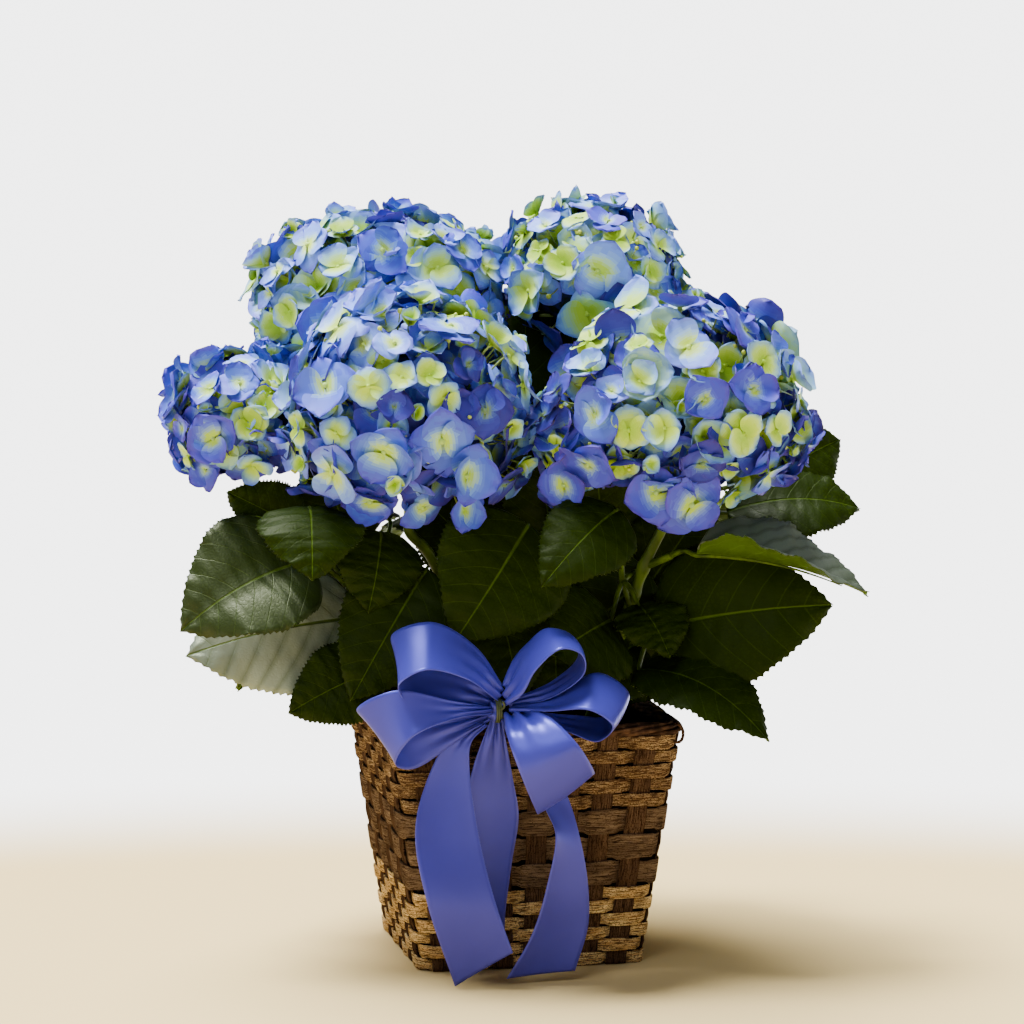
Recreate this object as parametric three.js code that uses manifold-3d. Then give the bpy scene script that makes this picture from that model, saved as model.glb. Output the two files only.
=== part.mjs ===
// A mophead hydrangea growing in a square woven basket with a satin ribbon bow on its front.
// Millimetres, +Z up. The origin is the centre of the basket's flat underside, and -Y is the front.
import * as THREE from 'three';
import { mergeVertices } from 'three/addons/utils/BufferGeometryUtils.js';
import Module from 'manifold-3d';

const wasm = await Module();
wasm.setup();

// Gap kept between neighbouring solids
const CLEAR = 0.3;

// Basket: a tapered square cup of woven courses, with a twisted twig rim
const BASKET_TOP = 163;
const BASKET_BOTTOM = 125;
const BASKET_HEIGHT = 140;
const CORNER_CUT = 9;
const WALL = 5;
const COURSE_BULGE = 1.4;
const RIM_THICKNESS = 9;
const RIM_OVERHANG = 1.5;
const RIM_BEVEL = 2.5;
// Courses from the bottom up: how many, and how tall each is
const COURSES = [
  { count: 6, height: 7.7 },
  { count: 3, height: 15.1 },
  { count: 5, height: 8.3 },
];
const SOIL_TOP = 119;
const SOIL_CROWN = 3;

// Stems: one tapering limb up to each flower head
const STEM_FOOT_RADIUS = 4.2;
const STEM_TIP_RADIUS = 2.9;
const SHOOT_RADIUS = 2.1;
const PETIOLE_RADIUS = 1.3;

// Flower heads: a domed core that four-lobed florets stand out of
const CORE_SHARE = 0.7;
const FLORET_RADIUS = 17;
const FLORET_DISH = 3;
const FLORET_ROOT = 0.56;
const LOWEST_FLORET = -0.62;
const HEAD_SPACE = 0.03;
const PEDUNCLE = 16;

// Leaves: ovate blades, arched along the midrib and folded along it
const LEAF_THICKNESS = 1.2;
const LEAF_RIBS = 5;
const PETIOLE_SINK = 0.35;

// Ribbon
const RIBBON_THICKNESS = 1.2;
const LOOP_STEPS = 14;
const TAIL_STEPS = 11;
const KNOT_AT = [-28, -101, 153];
const KNOT_RADII = [7, 5, 6.5];

const GOLDEN_ANGLE = Math.PI * (3 - Math.sqrt(5));

const MATERIALS = {
  tan_bamboo: [0x9a6f3c, 0.7],
  dark_twig: [0x3d2415, 0.75],
  potting_mix: [0x2a1c12, 0.95],
  satin_ribbon: [0x4f5bb5, 0.35],
  green_stem: [0x5d7a26, 0.55],
  leaf: [0x2c420f, 0.45],
  sepals: [0x5f78cc, 0.6],
  wire_pick: [0x35502a, 0.5],
};

const part = new THREE.Group();

function finish(name) {
  const [color, roughness] = MATERIALS[name];
  return new THREE.MeshStandardMaterial({ color, roughness, metalness: 0 });
}

function vec(list) {
  return new THREE.Vector3(...list);
}

// Small repeatable random numbers
function seeded(seed) {
  let state = seed;
  return () => {
    state = (state * 16807) % 2147483647;
    return state / 2147483647;
  };
}

// A closed solid through rings of equal length, with a flat cap at each end
function loft(rings, closed = false) {
  const count = rings[0].length;
  const positions = rings.flat().flatMap((p) => [p.x, p.y, p.z]);
  const faces = [];
  const steps = closed ? rings.length : rings.length - 1;
  for (let i = 0; i < steps; i++) {
    const below = i * count;
    const above = ((i + 1) % rings.length) * count;
    for (let j = 0; j < count; j++) {
      const k = (j + 1) % count;
      faces.push([below + j, below + k, above + k], [below + j, above + k, above + j]);
    }
  }
  if (!closed) {
    const last = (rings.length - 1) * count;
    for (let j = 1; j < count - 1; j++) {
      faces.push([0, j + 1, j], [last, last + j, last + j + 1]);
    }
  }
  return solidGeometry(positions, faces);
}

function solidGeometry(positions, faces) {
  const at = (i) => new THREE.Vector3(positions[3 * i], positions[3 * i + 1], positions[3 * i + 2]);
  let volume = 0;
  for (const [a, b, c] of faces) {
    volume += at(a).dot(at(b).cross(at(c)));
  }
  const outward = volume > 0 ? faces : faces.map(([a, b, c]) => [a, c, b]);
  const geometry = new THREE.BufferGeometry();
  geometry.setAttribute('position', new THREE.Float32BufferAttribute(positions, 3));
  geometry.setIndex(outward.flat());
  return geometry;
}

function toSolid(geometry) {
  const bare = geometry.clone();
  bare.deleteAttribute('normal');
  bare.deleteAttribute('uv');
  const merged = mergeVertices(bare, 1e-4);
  return new wasm.Manifold(new wasm.Mesh({
    numProp: 3,
    vertProperties: new Float32Array(merged.attributes.position.array),
    triVerts: new Uint32Array(merged.index.array),
  }));
}

function toGeometry(solid) {
  const mesh = solid.getMesh();
  const geometry = new THREE.BufferGeometry();
  geometry.setAttribute('position', new THREE.BufferAttribute(mesh.vertProperties, 3));
  geometry.setIndex(new THREE.BufferAttribute(mesh.triVerts, 1));
  return geometry;
}

function isClear(piece, others) {
  return others.every((other) => piece.intersect(other).isEmpty());
}

function add(name, geometry, material) {
  geometry.computeVertexNormals();
  const mesh = new THREE.Mesh(geometry, finish(material));
  mesh.name = name;
  part.add(mesh);
}

// A tapering limb along a smooth curve, with flat ends
function limb(points, startRadius, endRadius, sides, steps) {
  const curve = new THREE.CatmullRomCurve3(points);
  const frames = curve.computeFrenetFrames(steps);
  const rings = [];
  for (let i = 0; i <= steps; i++) {
    const t = i / steps;
    const centre = curve.getPointAt(t);
    const radius = THREE.MathUtils.lerp(startRadius, endRadius, t);
    const ring = [];
    for (let j = 0; j < sides; j++) {
      const angle = (2 * Math.PI * j) / sides;
      ring.push(centre.clone()
        .addScaledVector(frames.normals[i], radius * Math.cos(angle))
        .addScaledVector(frames.binormals[i], radius * Math.sin(angle)));
    }
    rings.push(ring);
  }
  return loft(rings);
}

// Basket, soil and rim

// A square outline with bevelled corners, centred on the Z axis
function squareRing(halfWidth, cornerCut, z) {
  const straight = halfWidth - cornerCut;
  const ring = [];
  for (let corner = 0; corner < 4; corner++) {
    const turn = (corner * Math.PI) / 2;
    for (const [x, y] of [[halfWidth, straight], [straight, halfWidth]]) {
      ring.push(vec([x, y, z]).applyAxisAngle(vec([0, 0, 1]), turn));
    }
  }
  return ring;
}

function wallHalfWidth(z) {
  return THREE.MathUtils.lerp(BASKET_BOTTOM, BASKET_TOP, z / BASKET_HEIGHT) / 2;
}

function courseHeights() {
  const heights = [0];
  for (const { count, height } of COURSES) {
    for (let i = 0; i < count; i++) {
      heights.push(heights.at(-1) + height);
    }
  }
  return heights;
}

function basketWall() {
  const heights = courseHeights();
  const rings = [];
  for (let i = 0; i < heights.length - 1; i++) {
    const low = heights[i];
    const middle = (heights[i] + heights[i + 1]) / 2;
    rings.push(squareRing(wallHalfWidth(low) - COURSE_BULGE / 2, CORNER_CUT, low));
    rings.push(squareRing(wallHalfWidth(middle) + COURSE_BULGE / 2, CORNER_CUT, middle));
  }
  const top = heights.at(-1);
  const outer = wallHalfWidth(top) - COURSE_BULGE / 2;
  rings.push(squareRing(outer, CORNER_CUT, top));
  rings.push(squareRing(outer - WALL, CORNER_CUT - WALL / 2, top));
  rings.push(squareRing(wallHalfWidth(WALL) - WALL - COURSE_BULGE / 2, CORNER_CUT - WALL / 2, WALL));
  return loft(rings);
}

function basketRim() {
  const low = courseHeights().at(-1) + CLEAR;
  const outer = wallHalfWidth(BASKET_HEIGHT) + RIM_OVERHANG;
  const inner = outer - RIM_THICKNESS;
  const section = [
    [outer - RIM_BEVEL, low], [outer, low + RIM_BEVEL],
    [outer, BASKET_HEIGHT - RIM_BEVEL], [outer - RIM_BEVEL, BASKET_HEIGHT],
    [inner + RIM_BEVEL, BASKET_HEIGHT], [inner, low + RIM_BEVEL],
    [inner + RIM_BEVEL, low],
  ];
  return loft(section.map(([half, z]) => squareRing(half, CORNER_CUT, z)), true);
}

function soil() {
  const margin = WALL + COURSE_BULGE / 2 + CLEAR * 1.5;
  const low = WALL + CLEAR;
  const corner = CORNER_CUT - WALL / 2;
  return loft([
    squareRing(wallHalfWidth(low) - margin, corner, low),
    squareRing(wallHalfWidth(SOIL_TOP - SOIL_CROWN) - margin, corner, SOIL_TOP - SOIL_CROWN),
    squareRing(wallHalfWidth(SOIL_TOP) / 1.6, corner, SOIL_TOP),
  ]);
}

// Stems: foot on the soil, two points on the way up, and the flower head that it carries
const STEMS = {
  back_left: { foot: [-14, 26], through: [[-28, 44, 195], [-52, 66, 275]] },
  back_right: { foot: [20, 22], through: [[32, 26, 195], [48, 32, 280]] },
  far_left: { foot: [-36, 2], through: [[-62, 4, 180], [-116, 10, 236]] },
  front_centre: { foot: [-12, -22], through: [[-30, -30, 180], [-54, -38, 232]] },
  front_right: { foot: [40, -22], through: [[56, -34, 182], [68, -46, 225]] },
};

// Flower heads: centre of the widest level, radii across and front to back, dome rise and underside drop
const HEADS = {
  back_left: { centre: [-64, 75, 363], across: 75, deep: 62, rise: 56, drop: 42, florets: 48 },
  back_right: { centre: [57, 39, 372], across: 55, deep: 56, rise: 53, drop: 40, florets: 36 },
  far_left: { centre: [-150, 12, 299], across: 48, deep: 46, rise: 50, drop: 36, florets: 27 },
  front_centre: { centre: [-66, -42, 304], across: 72, deep: 60, rise: 74, drop: 52, florets: 49 },
  front_right: { centre: [77, -56, 303], across: 80, deep: 66, rise: 72, drop: 44, florets: 54 },
};

function headPoint(head, direction, share) {
  const height = direction.z > 0 ? head.rise : head.drop;
  const reach = vec([head.across * direction.x, head.deep * direction.y, height * direction.z]);
  return vec(head.centre).addScaledVector(reach, share);
}

// How far out a point lies in a head: 1 on its surface
function headReach(head, point) {
  const away = point.clone().sub(vec(head.centre));
  const height = away.z > 0 ? head.rise : head.drop;
  return Math.hypot(away.x / head.across, away.y / head.deep, away.z / height);
}

function peduncleFoot(head) {
  return headPoint(head, vec([0, 0, -1]), CORE_SHARE).add(vec([0, 0, -PEDUNCLE]));
}

function stemCurve(name) {
  const { foot, through } = STEMS[name];
  const top = peduncleFoot(HEADS[name]).add(vec([0, 0, -CLEAR]));
  const below = top.clone().add(vec([0, 0, -6]));
  return [vec([...foot, SOIL_TOP + CLEAR]), vec([...foot, SOIL_TOP + 5]), ...through.map(vec), below, top];
}

function stemSolid(name) {
  return toSolid(limb(stemCurve(name), STEM_FOOT_RADIUS, STEM_TIP_RADIUS, 7, 9));
}

// A floret: four sepals around a dished eye, drawn down to a root inside the core
function floret(at, root, radius, spin) {
  const up = at.clone().sub(root).normalize();
  const across = new THREE.Vector3().crossVectors(up, vec([0.3, 0.2, 1])).normalize();
  const along = new THREE.Vector3().crossVectors(up, across);
  const points = [];
  for (let i = 0; i < 4; i++) {
    const angle = spin + (i * Math.PI) / 2;
    points.push(at.clone()
      .addScaledVector(across, radius * Math.cos(angle))
      .addScaledVector(along, radius * Math.sin(angle)));
  }
  points.push(at.clone().addScaledVector(up, -FLORET_DISH), root);
  const faces = [];
  for (let i = 0; i < 4; i++) {
    const next = (i + 1) % 4;
    faces.push([4, i, next], [5, next, i]);
  }
  return { points, solid: toSolid(solidGeometry(points.flatMap((p) => [p.x, p.y, p.z]), faces)) };
}

function floretDirection(index, count, random) {
  const height = 1 - (1 - LOWEST_FLORET) * ((index + 0.5) / count);
  const level = Math.sqrt(1 - height * height);
  const angle = index * GOLDEN_ANGLE + (random() - 0.5) * 0.3;
  return vec([level * Math.cos(angle), level * Math.sin(angle), height]);
}

function keepsToHead(name, point) {
  const own = headReach(HEADS[name], point);
  return Object.keys(HEADS).every((other) => other === name || own + HEAD_SPACE < headReach(HEADS[other], point));
}

function headSolid(name, seed, taken) {
  const head = HEADS[name];
  const random = seeded(seed);
  const core = new THREE.IcosahedronGeometry(1, 1);
  const corePositions = core.attributes.position;
  for (let i = 0; i < corePositions.count; i++) {
    const direction = new THREE.Vector3().fromBufferAttribute(corePositions, i);
    const point = headPoint(head, direction, CORE_SHARE);
    corePositions.setXYZ(i, point.x, point.y, point.z);
  }
  let solid = toSolid(core);
  const foot = peduncleFoot(head);
  const inside = foot.clone().add(vec([0, 0, PEDUNCLE * 2]));
  solid = solid.add(toSolid(limb([foot, inside], STEM_TIP_RADIUS, STEM_TIP_RADIUS, 7, 1)));
  for (let i = 0; i < head.florets; i++) {
    const direction = floretDirection(i, head.florets, random);
    const share = 0.95 + 0.08 * random();
    const spin = random() * Math.PI;
    const size = FLORET_RADIUS * (0.85 + 0.3 * random());
    const at = headPoint(head, direction, share);
    const root = headPoint(head, direction, FLORET_ROOT);
    for (const shrink of [1, 0.8, 0.62]) {
      const candidate = floret(at, root, size * shrink, spin);
      if (candidate.points.every((p) => keepsToHead(name, p)) && isClear(candidate.solid, taken)) {
        solid = solid.add(candidate.solid);
        break;
      }
    }
  }
  return solid;
}

// Leaf masses: a shoot leaves a stem at a height, or rises from the soil, and ends at a node, and each
// leaf hangs on its petiole from there. A leaf is where its blade starts, its tip, the way that it faces,
// its width, and how far it arches and folds, as shares of its length and of its half width.
const LEAF_MASSES = {
  left: { stem: 'far_left', height: 205, node: [-96, -12, 212], leaves: [
    { from: [-122, -26, 225], tip: [-193, -41, 193], face: [-0.4, -0.85, 0.75], width: 86, arch: 0.18, fold: 0.25 },
    { from: [-101, -36, 189], tip: [-190, -44, 180], face: [-0.15, -0.9, 0.7], width: 74, arch: 0.1, fold: -0.1 },
    { from: [-122, -8, 244], tip: [-163, -12, 266], face: [-0.3, -0.9, 0.3], width: 38, arch: 0.08, fold: 0.1 },
    { from: [-112, 16, 216], tip: [-174, 34, 196], face: [-0.4, 0.1, 1], width: 54, arch: 0.16, fold: 0.1 },
  ] },
  front_left: { stem: 'front_centre', height: 196, node: [-66, -44, 212], leaves: [
    { from: [-118, -52, 256], tip: [-126, -96, 224], face: [-0.1, -1, 0.6], width: 54, arch: 0.22, fold: -0.1 },
    { from: [-82, -46, 246], tip: [-93, -66, 204], face: [0, -1, 0.2], width: 50, arch: 0.14, fold: 0.1 },
    { from: [-58, -54, 226], tip: [-104, -74, 157], face: [-0.35, -1, 0.1], width: 64, arch: 0.07, fold: 0.08 },
    { from: [-75, -18, 172], tip: [-130, -15, 143], face: [-0.1, -0.8, 0.7], width: 50, arch: 0.12, fold: 0.1 },
  ] },
  front_centre: { stem: 'front_centre', height: 214, node: [-22, -50, 232], leaves: [
    { from: [-2, -61, 250], tip: [-48, -86, 190], face: [-0.1, -1, 0.15], width: 80, arch: 0.12, fold: 0.1 },
    { from: [-18, -42, 212], tip: [-8, -66, 152], face: [0, -1, 0.3], width: 54, arch: 0.08, fold: 0.1 },
  ] },
  front_right: { stem: 'front_right', height: 206, node: [53, -52, 216], leaves: [
    { from: [44, -82, 252], tip: [-5, -114, 221], face: [-0.4, -1, 0.3], width: 48, arch: 0.16, fold: -0.15 },
    { from: [34, -90, 199], tip: [12, -138, 178], face: [0.15, -0.8, 0.7], width: 62, arch: 0.14, fold: 0.1 },
    { from: [60, -66, 204], tip: [71, -92, 178], face: [0.2, -1, 0.4], width: 44, arch: 0.1, fold: 0.1 },
  ] },
  right: { stem: 'front_right', height: 190, node: [70, -54, 190], leaves: [
    { from: [83, -62, 184], tip: [162, -96, 205], face: [0.15, -0.9, 0.35], width: 80, arch: 0.14, fold: 0.08 },
    { from: [62, -76, 162], tip: [119, -124, 135], face: [0.1, -0.75, 0.8], width: 56, arch: 0.12, fold: 0.12 },
    { from: [88, -22, 186], tip: [142, -14, 168], face: [0.3, -0.4, 1], width: 50, arch: 0.14, fold: 0.1 },
  ] },
  right_upper: { stem: 'front_right', height: 222, node: [80, -58, 230], leaves: [
    { from: [93, -74, 236], tip: [178, -112, 213], face: [0.1, 0.1, 1], width: 58, arch: 0.16, fold: 0.7 },
  ] },
  right_back: { stem: 'back_right', height: 225, node: [92, 16, 240], leaves: [
    { from: [128, 8, 246], tip: [206, 4, 246], face: [0, -0.75, 0.75], width: 62, arch: 0.14, fold: 0.1 },
    { from: [150, 18, 262], tip: [200, 26, 284], face: [0.1, -0.9, 0.4], width: 54, arch: 0.1, fold: 0.1 },
    { from: [106, 24, 222], tip: [168, 36, 196], face: [0.4, 0, 1], width: 54, arch: 0.16, fold: 0.1 },
  ] },
  inner_left: { foot: [2, 2], node: [-2, 8, 206], leaves: [
    { from: [-10, 12, 216], tip: [-54, 20, 262], face: [0, -1, 0.3], width: 54, arch: 0.1, fold: 0.1 },
    { from: [6, 14, 216], tip: [10, 22, 274], face: [0, -1, 0.3], width: 52, arch: 0.1, fold: 0.1 },
  ] },
  inner_right: { foot: [45, 0], node: [68, -4, 196], leaves: [
    { from: [78, -8, 206], tip: [112, -16, 258], face: [0, -1, 0.25], width: 56, arch: 0.1, fold: 0.1 },
    { from: [66, 2, 208], tip: [58, 6, 262], face: [0, -1, 0.3], width: 46, arch: 0.1, fold: 0.1 },
  ] },
  collar_back_left: { stem: 'back_left', height: 262, node: [-58, 78, 276], leaves: [
    { from: [-48, 90, 286], tip: [-14, 142, 274], face: [0.3, 0.4, 1], width: 56, arch: 0.16, fold: 0.1 },
    { from: [-64, 96, 286], tip: [-88, 162, 268], face: [-0.1, 0.4, 1], width: 58, arch: 0.16, fold: 0.1 },
    { from: [-78, 84, 286], tip: [-142, 112, 276], face: [-0.4, 0.2, 1], width: 56, arch: 0.16, fold: 0.1 },
  ] },
  collar_back_right: { stem: 'back_right', height: 268, node: [56, 44, 284], leaves: [
    { from: [68, 50, 294], tip: [130, 78, 280], face: [0.4, 0.2, 1], width: 56, arch: 0.16, fold: 0.1 },
    { from: [52, 62, 294], tip: [34, 130, 280], face: [0, 0.4, 1], width: 56, arch: 0.16, fold: 0.1 },
  ] },
};

// The blade's half width at a share of its length: broad near the base, drawn out to the tip
function bladeWidth(t) {
  const widest = 0.55 / (0.55 + 0.95);
  const shape = (s) => s ** 0.55 * (1 - s) ** 0.95;
  return shape(t) / shape(widest);
}

function leafFrame(leaf) {
  const base = vec(leaf.from);
  const along = vec(leaf.tip).sub(base);
  const length = along.length();
  along.normalize();
  const side = new THREE.Vector3().crossVectors(along, vec(leaf.face)).normalize();
  const up = new THREE.Vector3().crossVectors(side, along);
  return { base, along, side, up, length };
}

function leafRib(leaf, t) {
  const { base, along, up, length } = leafFrame(leaf);
  return base.addScaledVector(along, length * t).addScaledVector(up, 4 * leaf.arch * length * t * (1 - t));
}

function leafSolid(leaf) {
  const { side, up } = leafFrame(leaf);
  const rings = [];
  for (let i = 0; i <= LEAF_RIBS; i++) {
    const t = i / LEAF_RIBS;
    const half = Math.max((leaf.width / 2) * bladeWidth(t), LEAF_THICKNESS);
    const rib = leafRib(leaf, t);
    const lift = up.clone().multiplyScalar(half * leaf.fold);
    const left = rib.clone().addScaledVector(side, -half).add(lift);
    const right = rib.clone().addScaledVector(side, half).add(lift);
    const down = up.clone().multiplyScalar(-LEAF_THICKNESS);
    rings.push([left, rib, right, right.clone().add(down), rib.clone().add(down), left.clone().add(down)]);
  }
  return toSolid(loft(rings));
}

function petiole(from, leaf) {
  const { base, up } = leafFrame(leaf);
  const end = base.clone().lerp(leafRib(leaf, 1 / LEAF_RIBS), PETIOLE_SINK);
  end.addScaledVector(up, -LEAF_THICKNESS / 2);
  const middle = from.clone().lerp(base, 0.55).add(vec([0, 0, from.distanceTo(base) * 0.08]));
  return toSolid(limb([from, middle, end], PETIOLE_RADIUS, PETIOLE_RADIUS * 0.8, 3, 3));
}

// The point and radius of a stem at a height
function stemAt(name, height) {
  const curve = new THREE.CatmullRomCurve3(stemCurve(name));
  let share = 0;
  while (share < 1 && curve.getPointAt(share).z < height) {
    share += 0.005;
  }
  const radius = THREE.MathUtils.lerp(STEM_FOOT_RADIUS, STEM_TIP_RADIUS, share);
  return { point: curve.getPointAt(share), tangent: curve.getTangentAt(share), radius };
}

// Where a shoot starts: its flat end just clears the stem, also where the two meet at a slant
function shootStart(origin, outward) {
  const slant = Math.abs(outward.dot(origin.tangent));
  const reach = (origin.radius + CLEAR + SHOOT_RADIUS * slant) / Math.sqrt(1 - slant * slant);
  return origin.point.clone().addScaledVector(outward, reach);
}

// Where a side shoot of its own starts: its slanted end just clears the soil
function soilStart(point, outward) {
  return point.clone().add(vec([0, 0, SHOOT_RADIUS * Math.sqrt(1 - outward.z * outward.z)]));
}

function leafMass({ stem, height, foot, node, leaves }, taken) {
  const end = vec(node);
  const origin = foot ? { point: vec([...foot, SOIL_TOP + CLEAR]) } : stemAt(stem, height);
  const outward = end.clone().sub(origin.point).normalize();
  const start = foot ? soilStart(origin.point, outward) : shootStart(origin, outward);
  let solid = toSolid(limb([start, end], SHOOT_RADIUS, SHOOT_RADIUS * 0.85, 5, 1));
  const root = end.clone().addScaledVector(outward, -SHOOT_RADIUS);
  for (const leaf of leaves) {
    const piece = leafSolid(leaf).add(petiole(root, leaf));
    if (isClear(piece, taken)) {
      solid = solid.add(piece);
    }
  }
  return solid;
}

// The unseen side: ruled fans of leaves in two tiers, the lower ones drooping over the rim
const BACK_FANS = {
  back_right: { stem: 'back_right', height: 178, node: [50, 44, 188], middle: 36, seed: 11 },
  back: { stem: 'back_left', height: 182, node: [-6, 64, 192], middle: 92, seed: 23 },
  back_left: { stem: 'back_left', height: 208, node: [-64, 50, 212], middle: 145, seed: 37 },
};
// Each tier: how far it spreads each way in degrees, and the radius and height where its blades start and end
const FAN_TIERS = [
  { spread: 12, from: [92, 176], tip: [156, 140], width: 54 },
  { spread: 0, from: [84, 206], tip: [160, 180], width: 56 },
  { spread: 13, from: [88, 236], tip: [166, 222], width: 54 },
];

function fanLeaves({ middle, seed }) {
  const random = seeded(seed);
  const leaves = [];
  for (const { spread, from, tip, width } of FAN_TIERS) {
    for (const turn of spread ? [-spread, spread] : [0]) {
      const angle = THREE.MathUtils.degToRad(middle + turn + 4 * (random() - 0.5));
      const outward = vec([Math.cos(angle), Math.sin(angle), 0]);
      const longer = 10 * random();
      leaves.push({
        from: [from[0] * outward.x, from[0] * outward.y, from[1]],
        tip: [(tip[0] + longer) * outward.x, (tip[0] + longer) * outward.y, tip[1]],
        face: [0.45 * outward.x, 0.45 * outward.y, 1],
        width, arch: 0.16, fold: 0.1,
      });
    }
  }
  return leaves;
}

// Bow: each loop is a ribbon between its near and its far edge, gathered at the knot
const LOOPS = {
  upper_left: {
    near: [[-28, -105, 159], [-47, -117, 173], [-72, -124, 180], [-85, -117, 171], [-77, -107, 159],
      [-52, -102, 154], [-30, -100, 153]],
    far: [[-24, -99, 166], [-38, -96, 187], [-63, -97, 202], [-84, -89, 194], [-76, -85, 179],
      [-46, -91, 172], [-27, -96, 160]],
  },
  lower_left: {
    near: [[-31, -104, 152], [-54, -113, 151], [-78, -117, 142], [-85, -107, 126], [-73, -99, 122],
      [-51, -98, 135], [-30, -99, 148]],
    far: [[-31, -100, 155], [-53, -108, 160], [-85, -109, 167], [-105, -99, 156], [-94, -92, 147],
      [-67, -93, 148], [-33, -96, 151]],
  },
  upper_right: {
    near: [[-25, -105, 155], [-17, -117, 164], [-11, -124, 178], [2, -129, 190], [14, -127, 186],
      [16, -124, 176], [2, -113, 162], [-21, -102, 154]],
    far: [[-23, -99, 168], [-18, -97, 180], [-10, -97, 189], [0, -99, 197], [14, -102, 193],
      [17, -103, 182], [4, -101, 169], [-20, -98, 158]],
  },
  right: {
    near: [[-22, -106, 153], [-3, -122, 155], [17, -136, 157], [29, -136, 148], [23, -125, 138],
      [9, -114, 142], [-19, -101, 150]],
    far: [[-19, -102, 155], [3, -105, 161], [27, -108, 173], [44, -110, 161], [38, -106, 149],
      [14, -101, 149], [-19, -98, 153]],
  },
  front: {
    near: [[-25, -105, 151], [-27, -129, 141], [-21, -137, 121], [-10, -124, 99], [-14, -111, 113],
      [-21, -104, 134], [-25, -100, 148]],
    far: [[-12, -108, 154], [-3, -130, 152], [9, -143, 139], [20, -132, 122], [16, -117, 128],
      [2, -109, 143], [-14, -102, 150]],
  },
};
const TAILS = {
  left: {
    near: [[-33, -101, 145], [-42, -101, 136], [-43, -101, 119], [-38, -107, 79], [-31, -114, 48], [-22, -116, 21]],
    far: [[-37, -100, 146], [-54, -96, 136], [-67, -95, 111], [-73, -99, 86], [-68, -107, 49], [-52, -104, 1]],
  },
  middle: {
    near: [[-25, -99, 148], [-17, -98, 113], [-13, -96, 91], [-16, -94, 66], [-19, -91, 36], [-19, -90, 25]],
    far: [[-30, -98, 149], [-40, -91, 122], [-46, -87, 92], [-48, -84, 65], [-48, -82, 36], [-49, -81, 25]],
  },
  right: {
    near: [[-18, -100, 146], [-2, -104, 130], [11, -107, 104], [17, -113, 82], [22, -113, 56], [23, -109, 31],
      [16, -109, 6]],
    far: [[-20, -99, 143], [-13, -102, 123], [-2, -109, 98], [2, -115, 86], [-2, -106, 59], [-10, -100, 29],
      [-23, -97, 4]],
  },
};

function ribbon({ near, far }, steps, margin) {
  const nearCurve = new THREE.CatmullRomCurve3(near.map(vec));
  const farCurve = new THREE.CatmullRomCurve3(far.map(vec));
  const rings = [];
  for (let i = 0; i <= steps; i++) {
    const t = i / steps;
    const a = nearCurve.getPoint(t);
    const b = farCurve.getPoint(t);
    const forward = nearCurve.getTangent(t).add(farCurve.getTangent(t));
    const offset = new THREE.Vector3().crossVectors(forward, b.clone().sub(a)).normalize();
    offset.multiplyScalar(RIBBON_THICKNESS / 2 + margin);
    rings.push([a.clone().add(offset), b.clone().add(offset), b.clone().sub(offset), a.clone().sub(offset)]);
  }
  return toSolid(loft(rings));
}

function bowKnot(margin) {
  const ball = new THREE.IcosahedronGeometry(1, 1);
  ball.scale(...KNOT_RADII.map((radius) => radius + margin));
  ball.translate(...KNOT_AT);
  return toSolid(ball);
}

// The loops and the knot, or with a margin the room that they take up
function bowLoops(margin) {
  return Object.values(LOOPS).reduce((bow, loop) => bow.add(ribbon(loop, LOOP_STEPS, margin)), bowKnot(margin));
}

// The wire pick that holds the bow: from behind the knot over the rim and down to the soil
function bowPick() {
  const [x, y, z] = KNOT_AT;
  const back = vec([x, y + KNOT_RADII[1] + CLEAR, z]);
  return limb([back, vec([x, y + 12, z]), vec([x + 1, y + 30, z - 6]), vec([x + 2, y + 38, SOIL_TOP + CLEAR])],
    1.3, 1.1, 5, 6);
}

function build() {
  add('basket_wall', basketWall(), 'tan_bamboo');
  add('basket_rim', basketRim(), 'dark_twig');
  add('potting_mix', soil(), 'potting_mix');

  const taken = [toSolid(basketRim()), toSolid(basketWall()), toSolid(soil())];
  const bow = bowLoops(0);
  add('bow_loops', toGeometry(bow), 'satin_ribbon');
  taken.push(bow);
  for (const [name, tail] of Object.entries(TAILS)) {
    const solid = ribbon(tail, TAIL_STEPS, 0).subtract(bow).subtract(bowLoops(CLEAR));
    add(`bow_tail_${name}`, toGeometry(solid), 'satin_ribbon');
    taken.push(solid);
  }
  add('bow_pick', bowPick(), 'wire_pick');
  taken.push(toSolid(bowPick()));

  for (const name of Object.keys(STEMS)) {
    const solid = stemSolid(name);
    add(`stem_${name}`, toGeometry(solid), 'green_stem');
    taken.push(solid);
  }
  Object.keys(HEADS).forEach((name, index) => {
    const solid = headSolid(name, 101 + 37 * index, taken);
    add(`head_${name}`, toGeometry(solid), 'sepals');
    taken.push(solid);
  });
  const masses = { ...LEAF_MASSES };
  for (const [name, fan] of Object.entries(BACK_FANS)) {
    masses[name] = { ...fan, leaves: fanLeaves(fan) };
  }
  for (const [name, mass] of Object.entries(masses)) {
    const solid = leafMass(mass, taken);
    add(`leaves_${name}`, toGeometry(solid), 'leaf');
    taken.push(solid);
  }
}

build();

export default part;
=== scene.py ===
# The looks of a mophead hydrangea growing in a square woven basket with a satin bow on its front.
# The tables and sizes are millimetres, as on the solids. +Z is up, and -Y is the front.
import math
import random

import bpy
import numpy as np
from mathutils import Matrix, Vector, noise


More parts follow.
